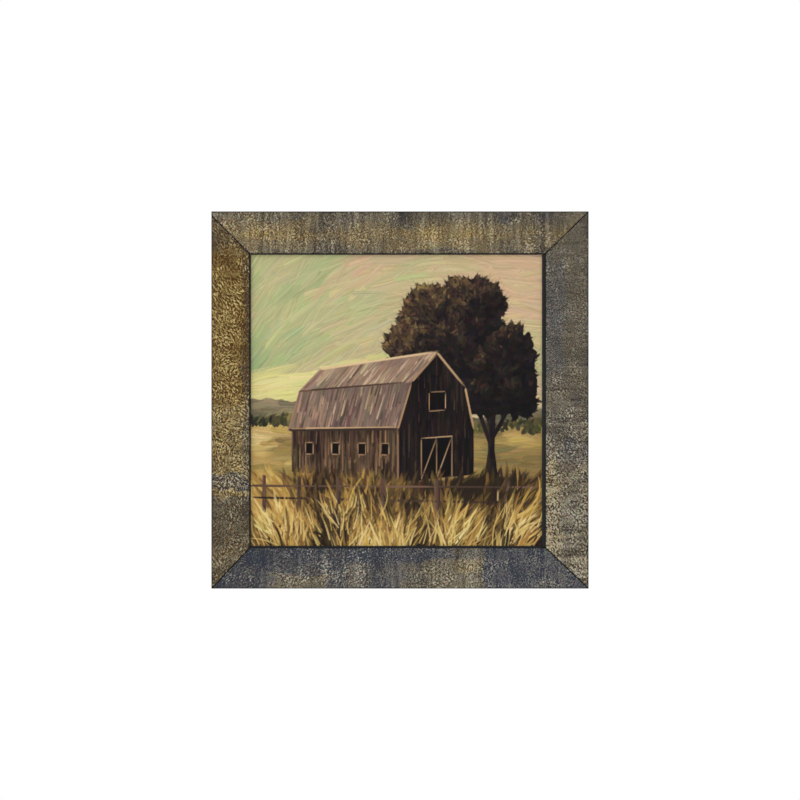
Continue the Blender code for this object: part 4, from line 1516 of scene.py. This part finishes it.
def screen_pressed_hardboard(settings):
    """Hardboard pressed on a wire screen.

    Brown fibres of several tones, about 1.1 mm long, lie flat in it in clouds some
    20 mm wide, and the screen leaves rows of small dimples. So the eye sees a
    mottled brown sheet with a woven look. The screen is a product of two sines.
    """
    made, tree = new_material("screen_pressed_hardboard")
    where = add(tree, "TexCoord").outputs["Object"]
    fibres = add(tree, "TexNoise", {"Vector": where, "Scale": 900.0, "Detail": 4.0})
    clouds = add(tree, "TexNoise", {"Vector": where, "Scale": 45.0, "Detail": 3.0})
    parts = add(tree, "SeparateXYZ", (where,)).outputs
    waves = []
    for part in (parts[0], parts[2]):
        turns = (part, 2 * math.pi / settings.mesh_pitch)
        angle = add(tree, "Math", turns, operation="MULTIPLY")
        waves.append(add(tree, "Math", (angle,), operation="SINE"))
    screen = add(tree, "Math", waves, operation="MULTIPLY")
    tone = add(tree, "MapRange", (fibres, 0.3, 0.7, 0.62, 1.4))
    for field, low, high, to_low, to_high in (
        (clouds, 0.3, 0.7, 0.85, 1.15),
        (screen, -1.0, 1.0, 0.80, 1.15),
    ):
        change = add(tree, "MapRange", (field, low, high, to_low, to_high))
        tone = add(tree, "Math", (tone, change), operation="MULTIPLY")
    tinted = {0: 1.0, 6: settings.hardboard, 7: tone}
    finish = {
        "Base Color": add(tree, "Mix", tinted, data_type="RGBA", blend_type="MULTIPLY"),
        "Roughness": 0.68,
        "IOR": 1.5,
        "Normal": add(tree, "Bump", {"Strength": 0.7, "Distance": 0.12 * MM, "Height": screen}),
    }
    add(tree, "OutputMaterial", (add(tree, "BsdfPrincipled", finish),))
    return made


def zinc_plated_steel(context):
    """Stamped steel with bright zinc plating, made once for all the fasteners.

    The plating dulls in clouds 2.4 mm wide and has a grain of 0.2 mm, so the eye
    sees a pale grey metal with blurred highlights.
    """
    name = "zinc_plated_stamped_steel"
    if name in bpy.data.materials:
        return bpy.data.materials[name]
    made, tree = new_material(name)
    where = add(tree, "TexCoord").outputs["Object"]
    clouds = add(tree, "TexNoise", {"Vector": where, "Scale": 420.0, "Detail": 3.0})
    grit = add(tree, "TexNoise", {"Vector": where, "Scale": 4500.0, "Detail": 2.0})
    tone = add(tree, "MapRange", (clouds, 0.3, 0.7, 0.78, 1.08))
    tinted = {0: 1.0, 6: context.scene.picture_back.zinc, 7: tone}
    finish = {
        "Base Color": add(tree, "Mix", tinted, data_type="RGBA", blend_type="MULTIPLY"),
        "Metallic": 1.0,
        "Roughness": add(tree, "MapRange", (clouds, 0.3, 0.7, 0.46, 0.30)),
        "Normal": add(tree, "Bump", {"Strength": 0.25, "Distance": 0.02 * MM, "Height": grit}),
    }
    add(tree, "OutputMaterial", (add(tree, "BsdfPrincipled", finish),))
    return made


def matt_floor_paint():
    """Plain matt paint: even and without gloss."""
    made, tree = new_material("pale_matt_floor")
    finish = {"Base Color": linear("#f4f4f2"), "Roughness": 0.9}
    add(tree, "OutputMaterial", (add(tree, "BsdfPrincipled", finish),))
    return made


# Operators.


class MAKE_OT_stage(bpy.types.Operator):
    """Makes the pale floor, the soft light and the camera"""

    bl_idname = "framed_picture.stage"
    bl_label = "Floor, light and camera"

    def execute(self, context):
        settings = context.scene.picture_stage
        centre = Vector(CENTRE)
        angle = np.linspace(0, 2 * np.pi, 97)[:-1]
        rim = settings.floor_radius * np.stack([np.cos(angle), np.sin(angle), 0 * angle], -1)
        top = rim + np.array([0.0, 0.0, CENTRE[2] - settings.hang_height])
        floor = tube("pale_floor", np.stack([top - np.array([0.0, 0.0, 20 * MM]), top], 1))
        floor.data.materials.append(matt_floor_paint())

        world = bpy.data.worlds.new("soft_white")
        world.use_nodes = True
        tree = world.node_tree
        tree.nodes.clear()
        seen = add(tree, "LightPath").outputs["Is Camera Ray"]
        strength = add(tree, "MapRange", (seen, 0.0, 1.0, settings.sky, 1.0))
        light = add(tree, "Background", ((1.0, 1.0, 1.0), strength))
        add(tree, "OutputWorld", (light,))
        context.scene.world = world

        for name, offset, size, power in (
            ("key", (-1.9, -2.6, 1.9), 1.6, settings.key),
            ("fill", (2.4, -2.8, 0.3), 2.0, settings.fill),
        ):
            light = bpy.data.lights.new(name, "AREA")
            light.size = size
            light.energy = power
            lamp = bpy.data.objects.new(name, light)
            lamp.location = centre + Vector(offset)
            lamp.rotation_euler = (-Vector(offset)).to_track_quat("-Z", "Y").to_euler()
            context.scene.collection.objects.link(lamp)

        lens = bpy.data.cameras.new("camera")
        lens.sensor_width = 36.0
        lens.lens = lens.sensor_width * settings.camera_distance / settings.field
        camera = bpy.data.objects.new("camera", lens)
        camera.location = centre - Vector((0.0, settings.camera_distance, 0.0))
        camera.rotation_euler = (math.pi / 2, 0.0, 0.0)
        context.scene.collection.objects.link(camera)
        context.scene.camera = camera
        context.scene.view_settings.view_transform = "Standard"
        return {"FINISHED"}


class MAKE_OT_rails(bpy.types.Operator):
    """Makes the four sawn and rubbed rails"""

    bl_idname = "framed_picture.rails"
    bl_label = "Rails"

    def execute(self, context):
        settings = context.scene.picture_finish
        material = rubbed_paint_on_sawn_pine(settings)
        for side in SIDES:
            make_rail(side, settings, material)
        return {"FINISHED"}


class MAKE_OT_slips(bpy.types.Operator):
    """Makes the black slips inside the rails"""

    bl_idname = "framed_picture.slips"
    bl_label = "Black slips"

    def execute(self, context):
        material = brushed_black_paint(context.scene.picture_back)
        for side in SIDES:
            make_slip(side, material)
        return {"FINISHED"}


class MAKE_OT_print(bpy.types.Operator):
    """Makes the printed sheet with its painting"""

    bl_idname = "framed_picture.print"
    bl_label = "Printed sheet"

    def execute(self, context):
        settings = context.scene.picture_painting
        make_print(settings, matt_printed_paper(settings))
        return {"FINISHED"}


class MAKE_OT_boards(bpy.types.Operator):
    """Makes the hardboard back and finishes the greyboard before it"""

    bl_idname = "framed_picture.boards"
    bl_label = "Boards"

    def execute(self, context):
        settings = context.scene.picture_back
        make_backing(settings, screen_pressed_hardboard(settings))
        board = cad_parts["mount_board"]
        board.data.materials.clear()
        board.data.materials.append(pulp_board(settings))
        return {"FINISHED"}


class MAKE_OT_points(bpy.types.Operator):
    """Makes the framer's points that hold the boards in"""

    bl_idname = "framed_picture.points"
    bl_label = "Framer's points"

    def execute(self, context):
        material = zinc_plated_steel(context)
        for side in SIDES:
            for number in (1, 2, 3):
                make_point(side, number, material)
        return {"FINISHED"}


class MAKE_OT_wedges(bpy.types.Operator):
    """Makes the steel wedges across the joints"""

    bl_idname = "framed_picture.wedges"
    bl_label = "Joint wedges"

    def execute(self, context):
        material = zinc_plated_steel(context)
        for side in SIDES:
            for number in (1, 2):
                make_wedge(side, number, material)
        return {"FINISHED"}


class MAKE_OT_hanger(bpy.types.Operator):
    """Makes the sawtooth hanger and its two nails"""

    bl_idname = "framed_picture.hanger"
    bl_label = "Hanger and nails"

    def execute(self, context):
        material = zinc_plated_steel(context)
        make_hanger(material)
        for end in ("left", "right"):
            make_nail(end, material)
        return {"FINISHED"}


class MAKE_OT_pads(bpy.types.Operator):
    """Makes the two rubber wall pads"""

    bl_idname = "framed_picture.pads"
    bl_label = "Wall pads"

    def execute(self, context):
        material = moulded_rubber(context.scene.picture_back)
        for end in ("left", "right"):
            make_pad(end, material)
        return {"FINISHED"}


class VIEW3D_PT_framed_picture(bpy.types.Panel):
    """Lists what makes the framed picture."""

    bl_label = "Framed Picture"
    bl_space_type = "VIEW_3D"
    bl_region_type = "UI"
    bl_category = "Framed Picture"

    def draw(self, context):
        for operator in OPERATORS:
            self.layout.operator(operator.bl_idname)
        for name in SETTINGS:
            box = self.layout.box()
            group = getattr(context.scene, name)
            for item in group.__annotations__:
                box.prop(group, item)


SETTINGS = {
    "picture_finish": FrameFinish,
    "picture_painting": PaintingSettings,
    "picture_back": BackSettings,
    "picture_stage": StageSettings,
}
OPERATORS = (
    MAKE_OT_stage,
    MAKE_OT_rails,
    MAKE_OT_slips,
    MAKE_OT_print,
    MAKE_OT_boards,
    MAKE_OT_points,
    MAKE_OT_wedges,
    MAKE_OT_hanger,
    MAKE_OT_pads,
)
CLASSES = (*SETTINGS.values(), *OPERATORS, VIEW3D_PT_framed_picture)


def register():
    for made in CLASSES:
        bpy.utils.register_class(made)
    for name, group in SETTINGS.items():
        setattr(bpy.types.Scene, name, PointerProperty(type=group))


def unregister():
    for name in SETTINGS:
        delattr(bpy.types.Scene, name)
    for made in reversed(CLASSES):
        bpy.utils.unregister_class(made)


def main():
    register()
    bpy.ops.framed_picture.stage()
    bpy.ops.framed_picture.rails()
    bpy.ops.framed_picture.slips()
    bpy.ops.framed_picture.print()
    bpy.ops.framed_picture.boards()
    bpy.ops.framed_picture.points()
    bpy.ops.framed_picture.wedges()
    bpy.ops.framed_picture.hanger()
    bpy.ops.framed_picture.pads()


if __name__ == "__main__":
    main()
